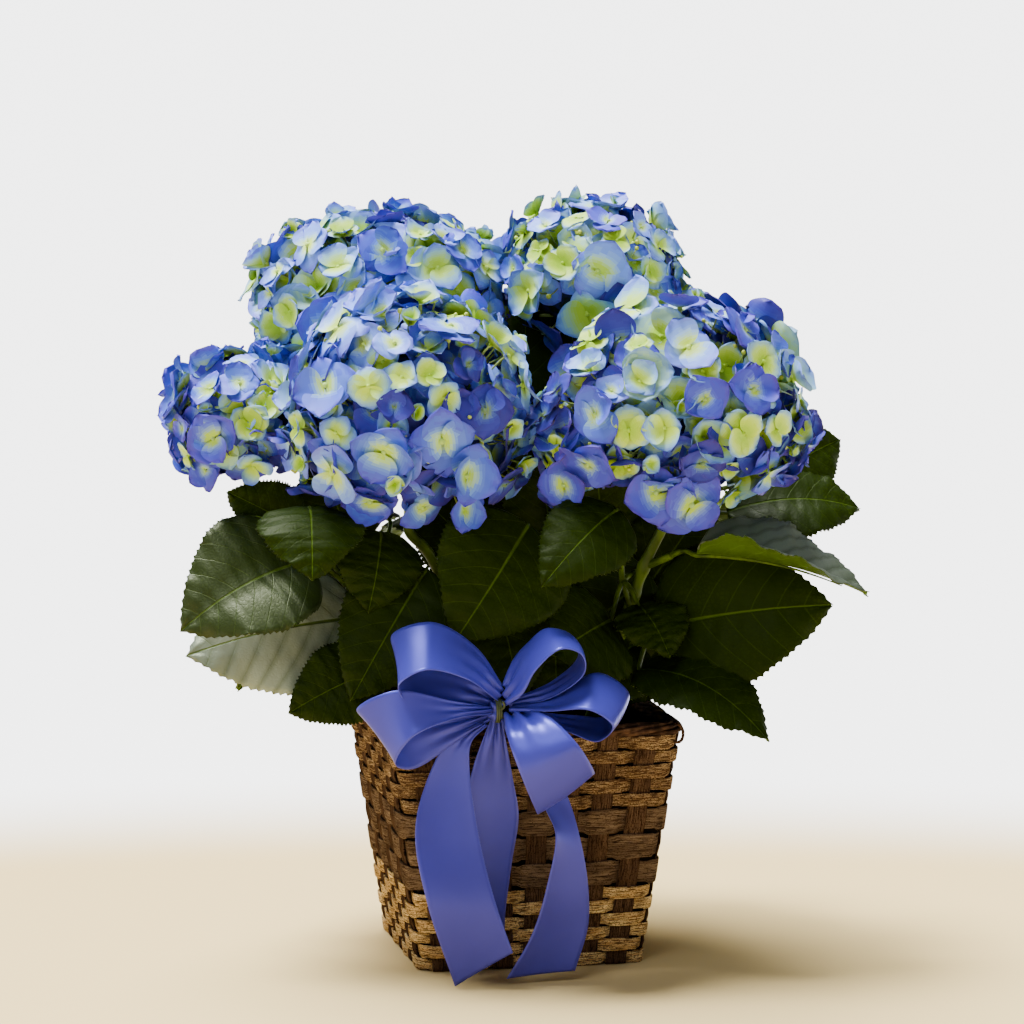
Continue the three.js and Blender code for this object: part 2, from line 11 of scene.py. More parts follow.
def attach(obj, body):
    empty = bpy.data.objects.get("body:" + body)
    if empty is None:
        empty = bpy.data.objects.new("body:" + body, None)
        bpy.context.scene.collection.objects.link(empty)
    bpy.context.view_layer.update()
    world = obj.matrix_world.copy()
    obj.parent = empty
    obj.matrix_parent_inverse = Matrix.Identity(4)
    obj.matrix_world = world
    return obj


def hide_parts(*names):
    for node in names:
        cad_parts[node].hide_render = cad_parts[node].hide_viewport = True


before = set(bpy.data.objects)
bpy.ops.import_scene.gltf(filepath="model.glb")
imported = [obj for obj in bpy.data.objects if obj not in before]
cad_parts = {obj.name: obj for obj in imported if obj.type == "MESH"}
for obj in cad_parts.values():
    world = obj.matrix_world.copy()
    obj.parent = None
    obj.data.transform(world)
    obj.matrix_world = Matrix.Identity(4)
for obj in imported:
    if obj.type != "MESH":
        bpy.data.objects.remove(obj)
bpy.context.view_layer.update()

MM = 0.001
UP = np.array([0.0, 0.0, 1.0])

# Basket
BASKET_TOP = 163
BASKET_BOTTOM = 125
BASKET_HEIGHT = 140
WEAVE_TOP = 133
CORNER_RADIUS = 9
# Rows of the weave from the bottom up: how many, how tall, and which strip they are woven from
ROWS = [(6, 7.7, "straw"), (3, 15.1, "brown"), (5, 8.3, "tan")]
# The dark and the light of each kind of strip, the colour of its splits, and how few of them it has
STRIP_LOOKS = {
    "straw": ((178, 134, 80), (255, 228, 168), (50, 28, 14), 0.53),
    "tan": ((100, 74, 50), (186, 156, 116), (38, 22, 14), 0.5),
    "brown": ((54, 39, 29), (134, 112, 90), (27, 17, 11), 0.57),
    "upright": ((48, 33, 24), (100, 77, 58), (24, 14, 9), 0.56),
}
# Where the uprights stand on each side, as shares of its half width
UPRIGHTS = [-0.84, -0.56, -0.28, 0.0, 0.25, 0.5, 0.78]
UPRIGHT_WIDTH = 11.5
UPRIGHT_STEPS = 60
# Points round the basket from which an upright's place is taken
RING_POINTS = 400
# Points along a strip, all the way round
STRIP_STEPS = 280
STRIP_THICKNESS = 1.1
# How far strips and uprights bend out and in as they cross
STRIP_SWING = 1.5
UPRIGHT_SWING = 0.8
# A strip's breadth where it shows and where it is tucked in, as shares of its row
SHOWN_BREADTH = 0.93
HIDDEN_BREADTH = 0.81
# How far a row wanders up and down, and how far its breadth varies
ROW_SWAY = 0.35
ROW_UNEVEN = 0.5
ROW_SEED = 500
# Round a strip: how far out, in thicknesses, and how far up or across, in breadths
STRIP_SECTION = [(-0.5, -0.5), (-0.5, 0.5), (0.3, 0.5), (0.5, 0.44), (0.55, 0), (0.5, -0.44), (0.3, -0.5)]
UPRIGHT_SECTION = [(-0.5, -0.5), (-0.5, 0.5), (0.3, 0.5), (0.5, 0.4), (0.5, -0.4), (0.3, -0.5)]
RIM_TWIGS = 12
# The middle of the bundle of twigs: how far in and down it lies, and how far the twigs stray from it
RIM_INSET = 3.7
RIM_DROP = 4.6
RIM_REACH = 4.5
RIM_STEPS = 280
RIM_SEED = 71
TWIG_RADIUS = 1.25
# The hoops at the rim's corners: radii outward and upward, and how thick they are
HOOP_SIZE = (4.2, 5.2)
HOOP_DROP = 7.0
HOOP_INSET = 3
HOOP_RADIUS = 0.9
LINER_TOP = 136
LINER_FOOT = 0.6
LINER_INSET = 3.2
LINER_THICKNESS = 1.2
SOIL_TOP = 119
SOIL_INSET = 5.2
SOIL_MOUND = 3.0
SOIL_ROUGHNESS = 2.2
SOIL_CELLS = 70
BARK_CHIPS = 900
# Half a bark chip's length, width and thickness, each from the least to the most
CHIP_SIZES = [(1.2, 4.6), (0.8, 2.2), (0.3, 0.9)]
CHIP_SEED = 23

# Stems
STEM_FOOT_RADIUS = 4.2
STEM_TIP_RADIUS = 2.9
SHOOT_RADIUS = 2.1
STEM_SIDES = 16
# Ridges along a stem, and how far they stand out as a share of its radius
STEM_RIDGES = 4
RIDGE_HEIGHT = 0.035
# Stems swell by this much where shoots leave them, and at an old leaf scar low down
NODE_SWELL = 0.9
OLD_NODE = 150
STEMS = {
    "back_left": {"foot": (-14, 26), "through": [(-28, 44, 195), (-52, 66, 275)]},
    "back_right": {"foot": (20, 22), "through": [(32, 26, 195), (48, 32, 280)]},
    "far_left": {"foot": (-36, 2), "through": [(-62, 4, 180), (-116, 10, 236)]},
    "front_centre": {"foot": (-12, -22), "through": [(-30, -30, 180), (-54, -38, 232)]},
    "front_right": {"foot": (40, -22), "through": [(56, -34, 182), (68, -46, 225)]},
}

# How much of a head its core fills, the core painted dark as the shade between florets, and the length of
# bare stalk below the head
CORE_SHARE = 0.62
PEDUNCLE = 16
# The room kept between heads, as a share of their reach, and how far out a floret's rim and tip may come
HEAD_SPACE = 0.03
REACH = 1.09
TIP_REACH = 1.25
# How low the florets go, as the height of the way out of the head
LOWEST_FLORET = -0.72
# The hollow between the heads, which faces the front left and has no florets: places and radii, and how far
# it goes behind and in front of them
HOLLOWS = [((26, 0, 350), 16), ((23, 0, 334), 14), ((20, 0, 318), 9)]
HOLLOW_DEPTH = 22
HOLLOW_MOUTH = 60
FLORET_RADIUS = 19
# The sizes that a floret is tried at, as shares
FLORET_SIZES = (1, 0.8, 0.62)
# How far the florets on top of a head lean away from its middle
TOP_LEAN = 0.9
# Layers of florets: their kind, how many twelfths of the head's number, how far out, and their size
FLORET_LAYERS = [("open", 12, 0.93, 1.0), ("deep", 8, 0.78, 0.9), ("small", 3, 0.92, 0.46)]
# How many parts of a head are still young, with small green florets
YOUNG_PATCHES = 8
BRANCHES = 14
GOLDEN_ANGLE = math.pi * (3 - math.sqrt(5))
# Flower heads: centre of the widest level, radii across and front to back, dome rise, underside drop, how
# square the shoulders are where 2 would be an ellipsoid, how many florets, the shares of their hues, and how
# much further than usual their throats spread
HEADS = {
    "back_left": {
        "centre": (-61, 75, 363), "across": 72, "deep": 62, "rise": 48, "drop": 42, "shoulder": 3.4,
        "florets": 125, "hues": {"periwinkle": 1, "sky": 4, "lime": 2, "aqua": 5}, "throat": 0.16,
        "slot": "sepals_periwinkle",
    },
    "back_right": {
        "centre": (55, 39, 372), "across": 52, "deep": 56, "rise": 50, "drop": 40, "shoulder": 2.6,
        "florets": 92, "hues": {"periwinkle": 2, "sky": 3, "aqua": 3, "lime": 3}, "throat": 0.12,
        "slot": "sepals_aqua",
    },
    "far_left": {
        "centre": (-148, 12, 300), "across": 44, "deep": 46, "rise": 43, "drop": 33, "shoulder": 2.2,
        "florets": 74, "hues": {"periwinkle": 4, "sky": 4, "violet": 2, "lime": 1}, "throat": 0,
        "slot": "sepals_sky",
    },
    "front_centre": {
        "centre": (-66, -42, 304), "across": 72, "deep": 60, "rise": 74, "drop": 52, "shoulder": 2.3,
        "florets": 132, "hues": {"sky": 4, "periwinkle": 3, "indigo": 2, "aqua": 1}, "throat": 0,
        "slot": "sepals_sky",
    },
    "front_right": {
        "centre": (77, -56, 303), "across": 80, "deep": 66, "rise": 72, "drop": 44, "shoulder": 2.2,
        "florets": 145, "hues": {"violet": 4, "periwinkle": 2, "indigo": 2, "aqua": 1, "lime": 2},
        "throat": 0.06, "slot": "sepals_violet",
    },
}
# Florets that hang out of the fringe below a head: how far their throats spread, then for each one its place,
# the way that it faces and its radius
HANGING_THROAT = 0.25
HANGING = {
    "front_centre": [
        ((-91, -65, 268), (-0.4, -1, -0.3), 19),
        ((-63, -67, 262), (0.2, -0.9, -0.5), 17),
        ((-42, -73, 261), (0.3, -1, -0.2), 15),
    ],
    "front_right": [
        ((80, -102, 264), (0.2, -1, -0.4), 21),
        ((60, -105, 271), (-0.1, -1, 0.1), 18),
        ((14, -80, 274), (-0.4, -0.9, -0.3), 17),
    ],
}
# Florets seen from the front left: how far out of the head they stand, then for each one how far right and up
# it is, as shares of the head's reach, its radius, its hue, how far its throat's colour spreads, and how its
# face leans to the right and up
LEADING_REACH = 0.94
LEADING = {
    "front_centre": [
        (-0.62, 0.38, 21, "periwinkle", 0.02, 0.2, -0.1),
        (0.0, 0.45, 12, "aqua", 0.75, -0.3, 0.0),
        (0.34, 0.29, 13, "aqua", 0.85, 0.0, -0.1),
        (0.32, -0.05, 22, "periwinkle", 0.12, 0.0, -0.3),
        (-0.06, 0.22, 11, "indigo", 0.0, 0.0, 0.2),
        (-0.14, -0.16, 19, "periwinkle", 0.35, -0.1, -0.2),
        (-0.56, -0.41, 21, "sky", 0.3, 0.0, 0.0),
        (-0.53, 0.02, 12, "aqua", 0.6, 0.2, 0.2),
        (-0.27, -0.75, 18, "violet", 0.3, 0.0, 0.4),
        (0.69, 0.67, 14, "lime", 0.9, 0.2, 0.3),
        (0.82, 0.57, 14, "aqua", 0.5, 0.4, 0.0),
        (0.93, 0.34, 16, "aqua", 0.25, 0.1, 0.0),
        (0.37, 0.82, 20, "periwinkle", 0.0, 0.0, 0.7),
        (-0.55, 0.79, 20, "sky", 0.35, -0.3, 0.5),
        (0.66, 0.18, 18, "indigo", 0.05, -0.3, 0.1),
        (0.5, -0.47, 21, "periwinkle", 0.2, 0.1, 0.5),
        (0.79, -0.6, 15, "indigo", 0.1, -0.2, 0.0),
        (-0.86, 0.03, 12, "lime", 0.8, 0.0, 0.0),
        (0.22, 0.47, 10, "lime", 1.0, 0.0, 0.2),
        (0.52, 0.54, 12, "indigo", 0.1, 0.2, 0.0),
        (-0.07, 0.7, 14, "sky", 0.2, 0.0, 0.3),
    ],
    "far_left": [
        (-0.39, -0.08, 17, "violet", 0.4, 0.0, 0.0),
        (0.08, 0.13, 13, "lime", 0.8, 0.2, 0.2),
        (-0.44, 0.58, 13, "periwinkle", 0.5, -0.2, 0.0),
        (-0.06, 0.66, 14, "periwinkle", 0.05, 0.0, 0.0),
        (-0.04, 0.9, 12, "sky", 0.1, 0.0, 0.6),
        (-0.53, -0.7, 12, "violet", 0.05, 0.0, 0.6),
        (-0.83, 0.03, 9, "violet", 0.2, -0.2, 0.0),
        (-0.77, -0.44, 9, "lime", 0.7, 0.0, 0.0),
        (0.35, 0.55, 9, "lime", 1.0, 0.0, 0.0),
        (0.28, 0.36, 11, "lime", 0.6, 0.0, 0.2),
        (0.12, -0.59, 11, "aqua", 0.6, 0.2, 0.0),
        (0.55, -0.53, 11, "indigo", 0.1, 0.0, 0.0),
    ],
    "front_right": [
        (0.02, -0.73, 18, "periwinkle", 0.5, 0.0, 0.2),
        (-0.9, 0.12, 16, "indigo", 0.0, -0.1, 0.9),
        (-0.5, 0.16, 17, "periwinkle", 0.08, 0.0, 0.2),
        (-0.26, 0.05, 14, "lime", 0.6, 0.1, 0.0),
        (0.0, 0.07, 14, "aqua", 0.8, -0.3, 0.0),
        (-0.56, -0.38, 18, "violet", 0.0, 0.0, -0.2),
        (-0.82, -0.18, 9, "lime", 1.0, 0.0, 0.0),
        (-0.87, -0.49, 9, "lime", 0.9, 0.0, 0.3),
        (0.29, 0.29, 16, "violet", 0.02, -0.3, 0.0),
        (0.64, 0.35, 17, "violet", 0.12, 0.1, 0.0),
        (0.57, 0.01, 14, "lime", 0.85, 0.2, -0.2),
        (0.92, 0.38, 17, "aqua", 0.3, 0.3, 0.1),
        (0.81, 0.01, 12, "lime", 0.7, 0.0, 0.0),
        (0.75, -0.55, 16, "periwinkle", 0.45, 0.0, 0.2),
        (0.45, -0.84, 13, "lime", 0.75, 0.3, 0.3),
        (0.16, 0.69, 19, "sky", 0.3, 0.2, 0.0),
        (0.57, 0.79, 17, "violet", 0.05, 0.3, 0.0),
        (0.38, 0.92, 13, "sky", 0.1, 0.0, 0.2),
        (0.5, 0.86, 14, "violet", 0.15, 0.0, 0.6),
        (-0.57, 0.72, 13, "lime", 0.95, -0.2, 0.2),
        (-0.19, 0.7, 9, "lime", 1.0, 0.0, 0.4),
        (-0.19, 0.43, 13, "aqua", 0.4, 0.2, 0.2),
        (-0.39, 0.35, 12, "sky", 0.05, 0.1, 0.4),
        (0.27, 0.51, 12, "lime", 0.65, 0.0, 0.3),
        (0.1, 0.96, 18, "violet", 0.0, -0.2, 0.3),
        (0.27, -0.36, 17, "indigo", 0.05, 0.2, 0.0),
        (-0.55, 0.51, 14, "aqua", 0.2, 0.0, 0.9),
        (-0.79, 0.34, 12, "indigo", 0.1, -0.2, 0.2),
        (0.81, 0.58, 14, "periwinkle", 0.1, 0.2, 0.0),
    ],
    "back_left": [
        (-0.56, 0.8, 18, "sky", 0.15, -0.2, -0.3),
        (-0.29, 0.52, 14, "aqua", 0.55, 0.0, 0.0),
        (0.06, 0.75, 17, "periwinkle", 0.08, 0.2, -0.5),
        (0.54, 0.55, 17, "aqua", 0.7, 0.0, -0.1),
        (0.71, 0.24, 16, "aqua", 0.75, 0.0, 0.0),
        (-0.15, 0.28, 16, "sky", 0.35, 0.0, 0.0),
        (0.29, 0.23, 14, "sky", 0.0, 0.0, 0.9),
        (0.36, 0.66, 10, "lime", 1.0, 0.0, 0.0),
        (-0.86, 0.49, 14, "sky", 0.1, -0.1, 0.0),
        (-0.95, 0.2, 12, "sky", 0.1, 0.0, 0.0),
        (-0.7, -0.01, 12, "lime", 0.7, 0.0, 0.0),
        (0.72, 0.73, 14, "periwinkle", 0.2, 0.0, 0.0),
        (0.9, 0.5, 13, "sky", 0.5, 0.2, 0.0),
        (-0.86, -0.21, 12, "lime", 0.8, 0.0, 0.0),
        (-0.28, 0.93, 11, "lime", 0.6, 0.0, 0.0),
        (0.36, 0.93, 12, "aqua", 0.7, 0.0, 0.0),
        (0.58, 0.86, 13, "sky", 0.4, 0.0, 0.2),
    ],
    "back_right": [
        (0.04, 0.3, 19, "sky", 0.25, 0.2, -0.2),
        (-0.34, 0.38, 14, "lime", 0.8, 0.0, 0.0),
        (-0.07, -0.24, 18, "aqua", 0.65, 0.0, 0.0),
        (-0.73, 0.05, 17, "aqua", 0.7, -0.2, 0.0),
        (0.65, 0.28, 12, "lime", 0.5, 0.3, 0.0),
        (0.18, 0.87, 13, "violet", 0.1, 0.0, 0.6),
        (-0.19, 0.89, 11, "lime", 0.7, 0.0, 0.0),
        (-0.54, 0.8, 12, "sky", 0.1, 0.0, 0.2),
        (0.55, 0.8, 11, "sky", 0.1, 0.0, -0.4),
        (0.74, 0.57, 12, "aqua", 0.5, 0.0, 0.0),
        (-0.92, 0.3, 10, "periwinkle", 0.2, 0.0, 0.0),
        (0.28, -0.09, 13, "indigo", 0.2, 0.0, 0.0),
        (-0.62, 0.52, 10, "lime", 1.0, 0.0, 0.0),
        (0.27, 0.66, 10, "lime", 0.9, 0.0, 0.0),
    ],
}
# The ways to the right and away, as seen from the front left
FRONT_RIGHT = np.array([0.98, -0.198, 0])
FRONT_AWAY = np.array([0.198, 0.98, 0])
# A sepal's half width as a share of its length, and how far it curves, both from the least to the most
SEPAL_BREADTH = (0.54, 0.66)
SEPAL_CURVE = (-0.8, 0.3)
# Shares of a sepal's length: its ruffles, its grooves, and how far odd sepals lie above even ones
SEPAL_RUFFLE = 0.05
SEPAL_GROOVE = 0.014
SEPAL_OVERLAP = 0.08
PEDICEL_RADIUS = 0.55
SEPAL_ROWS = 12
SEPAL_COLUMNS = 6
SEPAL_SHADES = 13

# Leaf masses: a shoot leaves a stem at a height, or rises from the soil, and ends at a node, and each
# leaf hangs on its petiole from there. A leaf is where its blade starts, its tip, the way that it faces,
# its width, and how far it arches and folds, as shares of its length and of its half width.
LEAF_MASSES = {
    "left": {"stem": "far_left", "height": 205, "node": (-96, -12, 212), "leaves": [
        ((-120, -26, 228), (-193, -41, 193), (-0.15, -0.85, 0.62), 80, 0.16, 0.32),
        ((-90, -23, 195), (-188, -27, 177), (-0.3, -0.88, 0.48), 84, 0.1, -0.05),
        ((-122, -8, 244), (-163, -12, 266), (-0.3, -0.9, 0.3), 38, 0.08, 0.1),
        ((-112, 16, 216), (-174, 34, 196), (-0.4, 0.1, 1), 54, 0.16, 0.1),
        ((-98, 6, 190), (-162, 24, 172), (-0.5, 0.1, 0.9), 58, 0.14, 0.1),
        ((-90, 0, 232), (-112, 8, 284), (-0.1, -1, 0.3), 54, 0.1, 0.1),
        ((-98, 4, 222), (-124, 40, 252), (-0.8, 0.4, 0.6), 54, 0.14, 0.1),
    ]},
    "front_left": {"stem": "front_centre", "height": 196, "node": (-66, -44, 212), "leaves": [
        ((-123, -52, 262), (-128, -92, 226), (-0.1, -1, 0.6), 60, 0.2, -0.1),
        ((-82, -46, 246), (-93, -66, 204), (0, -1, 0.2), 50, 0.14, 0.1),
        ((-58, -54, 226), (-104, -74, 157), (-0.35, -1, 0.1), 64, 0.07, 0.08),
        ((-86, -56, 171), (-136, -58, 148), (0, -0.9, 0.45), 48, 0.12, 0.1),
    ]},
    "front_centre": {"stem": "front_centre", "height": 214, "node": (-22, -50, 232), "leaves": [
        ((-2, -61, 250), (-48, -86, 190), (-0.1, -1, 0.15), 80, 0.12, 0.1),
        ((-18, -42, 212), (-8, -66, 152), (0, -1, 0.3), 54, 0.08, 0.1),
        ((16, -38, 208), (14, -60, 146), (0, -1, 0.2), 58, 0.06, 0.1),
    ]},
    "front_right": {"stem": "front_right", "height": 206, "node": (53, -52, 216), "leaves": [
        ((44, -82, 260), (-5, -112, 222), (-0.4, -1, 0.3), 52, 0.14, -0.15),
        ((44, -66, 196), (6, -86, 180), (0.1, -0.9, 0.45), 66, 0.12, 0.1),
        ((60, -66, 204), (71, -92, 178), (0.2, -1, 0.4), 44, 0.1, 0.1),
        ((75, -22, 216), (16, -34, 168), (0, -1, 0.1), 74, 0.06, 0.1),
        ((66, -32, 178), (24, -60, 146), (0, -0.8, 0.6), 52, 0.1, 0.1),
    ]},
    "right": {"stem": "front_right", "height": 190, "node": (70, -54, 190), "leaves": [
        ((70, -56, 189), (162, -96, 205), (0.15, -0.9, 0.35), 88, 0.12, 0.08),
        ((60, -66, 168), (119, -124, 135), (0.1, -0.7, 0.85), 56, 0.16, 0.1),
        ((88, -22, 186), (142, -14, 168), (0.3, -0.4, 1), 50, 0.14, 0.1),
        ((104, -12, 192), (58, -24, 142), (0, -1, 0.2), 52, 0.06, 0.1),
    ]},
    "right_upper": {"stem": "front_right", "height": 222, "node": (80, -58, 230), "leaves": [
        ((90, -76, 234), (178, -112, 213), (0.1, -0.15, 1), 60, 0.06, 0.8),
    ]},
    "right_back": {"stem": "back_right", "height": 225, "node": (92, 16, 240), "leaves": [
        ((128, 8, 246), (206, 4, 246), (0, -0.75, 0.75), 62, 0.14, 0.1),
        ((150, 18, 262), (200, 26, 284), (0.1, -0.9, 0.4), 54, 0.1, 0.1),
        ((106, 24, 222), (168, 36, 196), (0.4, 0, 1), 54, 0.16, 0.1),
        ((104, 32, 236), (132, 84, 220), (0.6, 0.5, 0.8), 54, 0.14, 0.1),
        ((96, 20, 254), (104, 44, 304), (1, 0.2, 0.4), 50, 0.1, 0.1),
    ]},
    "inner_left": {"foot": (2, 2), "node": (-2, 8, 206), "leaves": [
        ((-10, 12, 216), (-54, 20, 262), (0, -1, 0.3), 54, 0.1, 0.1),
        ((6, 14, 216), (10, 22, 274), (0, -1, 0.3), 52, 0.1, 0.1),
        ((8, 24, 262), (16, 34, 366), (0, -1, 0.1), 66, 0.04, 0.1),
        ((24, 0, 232), (12, -2, 296), (0, -1, 0.1), 50, 0.06, 0.1),
        ((30, 34, 262), (44, 36, 350), (0, -1, 0.1), 62, 0.06, 0.1),
        ((30, 40, 324), (33, 42, 400), (0, -1, 0.1), 44, 0.04, 0.1),
        ((-14, 14, 214), (-30, 30, 268), (-1, 0.2, 0.3), 54, 0.1, 0.1),
        ((-14, 2, 204), (-44, 0, 158), (-1, 0.1, 0.5), 54, 0.12, 0.1),
        ((-14, 24, 204), (-46, 66, 176), (-0.5, 0.6, 0.8), 56, 0.14, 0.1),
        ((4, 26, 214), (8, 50, 264), (0.1, 1, 0.3), 54, 0.1, 0.1),
        ((8, 26, 204), (30, 72, 184), (0.3, 0.6, 0.8), 54, 0.14, 0.1),
    ]},
    "inner_right": {"foot": (45, 0), "node": (68, -4, 196), "leaves": [
        ((78, -8, 206), (112, -16, 258), (0, -1, 0.25), 56, 0.1, 0.1),
        ((66, 2, 208), (58, 6, 262), (0, -1, 0.3), 46, 0.1, 0.1),
        ((52, -6, 228), (46, -8, 292), (0, -1, 0.1), 56, 0.06, 0.1),
        ((74, 6, 208), (72, 24, 264), (1, 0.1, 0.3), 54, 0.1, 0.1),
        ((82, 8, 202), (122, 36, 184), (0.6, 0.3, 0.9), 56, 0.14, 0.1),
        ((76, 12, 196), (72, 50, 152), (0.8, 0.5, 0.6), 52, 0.14, 0.1),
        ((76, 16, 216), (100, 62, 232), (0.6, 0.5, 0.8), 52, 0.14, 0.1),
        ((78, -20, 204), (92, -30, 156), (1, -0.1, 0.5), 50, 0.12, 0.1),
    ]},
    "collar_back_left": {"stem": "back_left", "height": 262, "node": (-58, 78, 276), "leaves": [
        ((-48, 90, 286), (-14, 142, 274), (0.3, 0.4, 1), 56, 0.16, 0.1),
        ((-64, 96, 286), (-88, 162, 268), (-0.1, 0.4, 1), 58, 0.16, 0.1),
        ((-78, 84, 286), (-142, 112, 276), (-0.4, 0.2, 1), 56, 0.16, 0.1),
    ]},
    "collar_back_right": {"stem": "back_right", "height": 268, "node": (56, 44, 284), "leaves": [
        ((68, 50, 294), (130, 78, 280), (0.4, 0.2, 1), 56, 0.16, 0.1),
        ((52, 62, 294), (34, 130, 280), (0, 0.4, 1), 56, 0.16, 0.1),
    ]},
}
# The unseen side: fans of leaves round a middle way in degrees. Each tier of a fan has its leaves' turns from
# that way, and the radius and height where its blades start and end.
BACK_FANS = {
    "back_right": {"stem": "back_right", "height": 178, "node": (50, 44, 188), "middle": 36},
    "back": {"stem": "back_left", "height": 182, "node": (-6, 64, 192), "middle": 92},
    "back_left": {"stem": "back_left", "height": 208, "node": (-64, 50, 212), "middle": 145},
}
FAN_TIERS = [
    {"turns": (-12, 12), "from": (92, 178), "tip": (155, 148), "width": 54},
    {"turns": (0,), "from": (84, 206), "tip": (160, 180), "width": 56},
    {"turns": (-13, 13), "from": (88, 236), "tip": (166, 222), "width": 54},
]
FAN_ARCH = (0.1, 0.2)
FAN_FOLD = 0.1
LEAF_THICKNESS = 0.7
TEETH = 27
LEAF_ROWS = 2 * TEETH
LEAF_COLUMNS = 12
SIDE_VEINS = 7
# How a side vein climbs with its distance from the midrib, and how much more it climbs as it bends
VEIN_RISE = 0.7
VEIN_BEND = 1.6
# How far the widest part of a blade reaches to each side in its UV
UV_REACH = 0.33
TOOTH_REACH = 2.0
QUILT_DEPTH = 1.9
MIDRIB_GROOVE = 1.1
MARGIN_WAVE = 1.5
MARGIN_RIPPLE = 0.8
# A petiole's radius at shares of its length, from the shoot to the end of the midrib
PETIOLE_SHARES = [0, 0.05, 0.4, 1]
PETIOLE_RADII = [2.0, 1.4, 1.15, 0.3]
# How much the blades that catch the light shine, and how pale their painted sheen is, by leaf mass and number
PLAIN_SHINE = 0.08
SHINY_BLADES = {("left", 0): (0.4, 0.0), ("left", 1): (0.8, 0.6), ("right_upper", 0): (0.15, 0.3)}

# Bow: each ribbon lies between its near and its far edge, gathered at the knot
RIBBON_THICKNESS = 0.5
RIBBON_CELLS = (110, 16)
# How far along a ribbon its gathers run, as a share, how deep and how many its pleats are, and its crown
GATHER_REACH = 0.15
PLEAT_DEPTH = 1.7
PLEATS = 2.5
RIBBON_CROWN = 1.2
KNOT_AT = (-28, -101, 153)
KNOT_SIZE = (5.2, 4.2, 6.4)
# The wire round the knot: how often it goes round, and its radii front to back and up
BINDING_TURNS = 2.6
BINDING_SIZE = (4.4, 6.2)
LOOPS = {
    "upper_left": {
        "near": [(-28, -105, 159), (-47, -117, 173), (-72, -124, 180), (-85, -117, 171), (-77, -107, 159),
                 (-52, -102, 154), (-30, -100, 153)],
        "far": [(-24, -99, 166), (-38, -96, 187), (-63, -97, 202), (-84, -89, 194), (-76, -85, 179),
                (-46, -91, 172), (-27, -96, 160)],
    },
    "lower_left": {
        "near": [(-31, -104, 152), (-54, -113, 151), (-78, -117, 142), (-85, -107, 126), (-73, -99, 122),
                 (-51, -98, 135), (-30, -99, 148)],
        "far": [(-31, -100, 155), (-53, -108, 160), (-85, -109, 167), (-105, -99, 156), (-94, -92, 147),
                (-67, -93, 148), (-33, -96, 151)],
    },
    "upper_right": {
        "near": [(-25, -105, 155), (-17, -117, 164), (-11, -124, 178), (2, -129, 190), (14, -127, 186),
                 (16, -124, 176), (2, -113, 162), (-21, -102, 154)],
        "far": [(-23, -99, 168), (-18, -97, 180), (-10, -97, 189), (0, -99, 197), (14, -102, 193),
                (17, -103, 182), (4, -101, 169), (-20, -98, 158)],
    },
    "right": {
        "near": [(-22, -106, 153), (-3, -122, 155), (17, -136, 157), (29, -136, 148), (23, -125, 138),
                 (9, -114, 142), (-19, -101, 150)],
        "far": [(-19, -102, 155), (3, -105, 161), (27, -108, 173), (44, -110, 161), (38, -106, 149),
                (14, -101, 149), (-19, -98, 153)],
    },
    "front": {
        "near": [(-25, -105, 151), (-27, -129, 141), (-21, -137, 121), (-10, -124, 99), (-14, -111, 113),
                 (-21, -104, 134), (-25, -100, 148)],
        "far": [(-12, -108, 154), (-3, -130, 152), (9, -143, 139), (20, -132, 122), (16, -117, 128),
                (2, -109, 143), (-14, -102, 150)],
    },
}
TAILS = {
    "left": {
        "near": [(-33, -101, 145), (-42, -101, 136), (-43, -101, 119), (-38, -107, 79), (-31, -114, 48),
                 (-22, -116, 21)],
        "far": [(-37, -100, 146), (-54, -96, 136), (-67, -95, 111), (-73, -99, 86), (-68, -107, 49),
                (-52, -104, 1)],
    },
    "middle": {
        "near": [(-25, -99, 148), (-17, -91, 113), (-13, -87, 91), (-16, -84, 66), (-19, -80, 36),
                 (-19, -78, 25)],
        "far": [(-30, -98, 149), (-40, -97, 122), (-46, -96, 92), (-48, -93, 65), (-48, -89, 36),
                (-49, -87, 25)],
    },
    "right": {
        "near": [(-18, -100, 146), (-2, -103, 130), (11, -105, 104), (17, -108, 82), (22, -106, 56),
                 (23, -102, 31), (16, -101, 6)],
        "far": [(-20, -99, 143), (-13, -102, 123), (-2, -109, 98), (2, -115, 86), (-2, -114, 59),
                (-10, -109, 29), (-23, -104, 4)],
    },
}

# Stage, in metres: the floor's size, and the middle of its sandy part and the radii between which it fades
FLOOR_SIZE = 300
SAND_MIDDLE = (-0.18, -0.88, 0)
SAND_RADII = (1.14, 1.46)
# The room's own dim light
ROOM_COLOUR = (0.93, 0.95, 1.0, 1)
ROOM_LIGHT = 0.19
# Light from far off: the way to it, how many degrees wide it looks, and its strength
SUNS = {
    "window": ((-0.3, 0.08, 0.94), 20, 6.5),
    "skylight": ((-0.16, 0.4, 0.9), 40, 9.2),
}
# Soft boxes that face the middle of the plant: place, width and power
SOFT_BOXES = {
    "front_fill": ((-0.9, -1.5, 1.95), 0.9, 16),
    "right_fill": ((1.9, -1.0, 0.9), 1.4, 3),
}
SOFT_BOX_COLOUR = (0.96, 0.98, 1.0)
PLANT_MIDDLE = (0, 0, 0.25)
# Camera: place, degrees turned to the right and tipped down, and focal length in millimetres
CAMERA_PLACE = (-0.4976, -2.4701, 0.5526)
CAMERA_TURN = 11.41
CAMERA_TIP = 6.86
CAMERA_LENS = 157.5

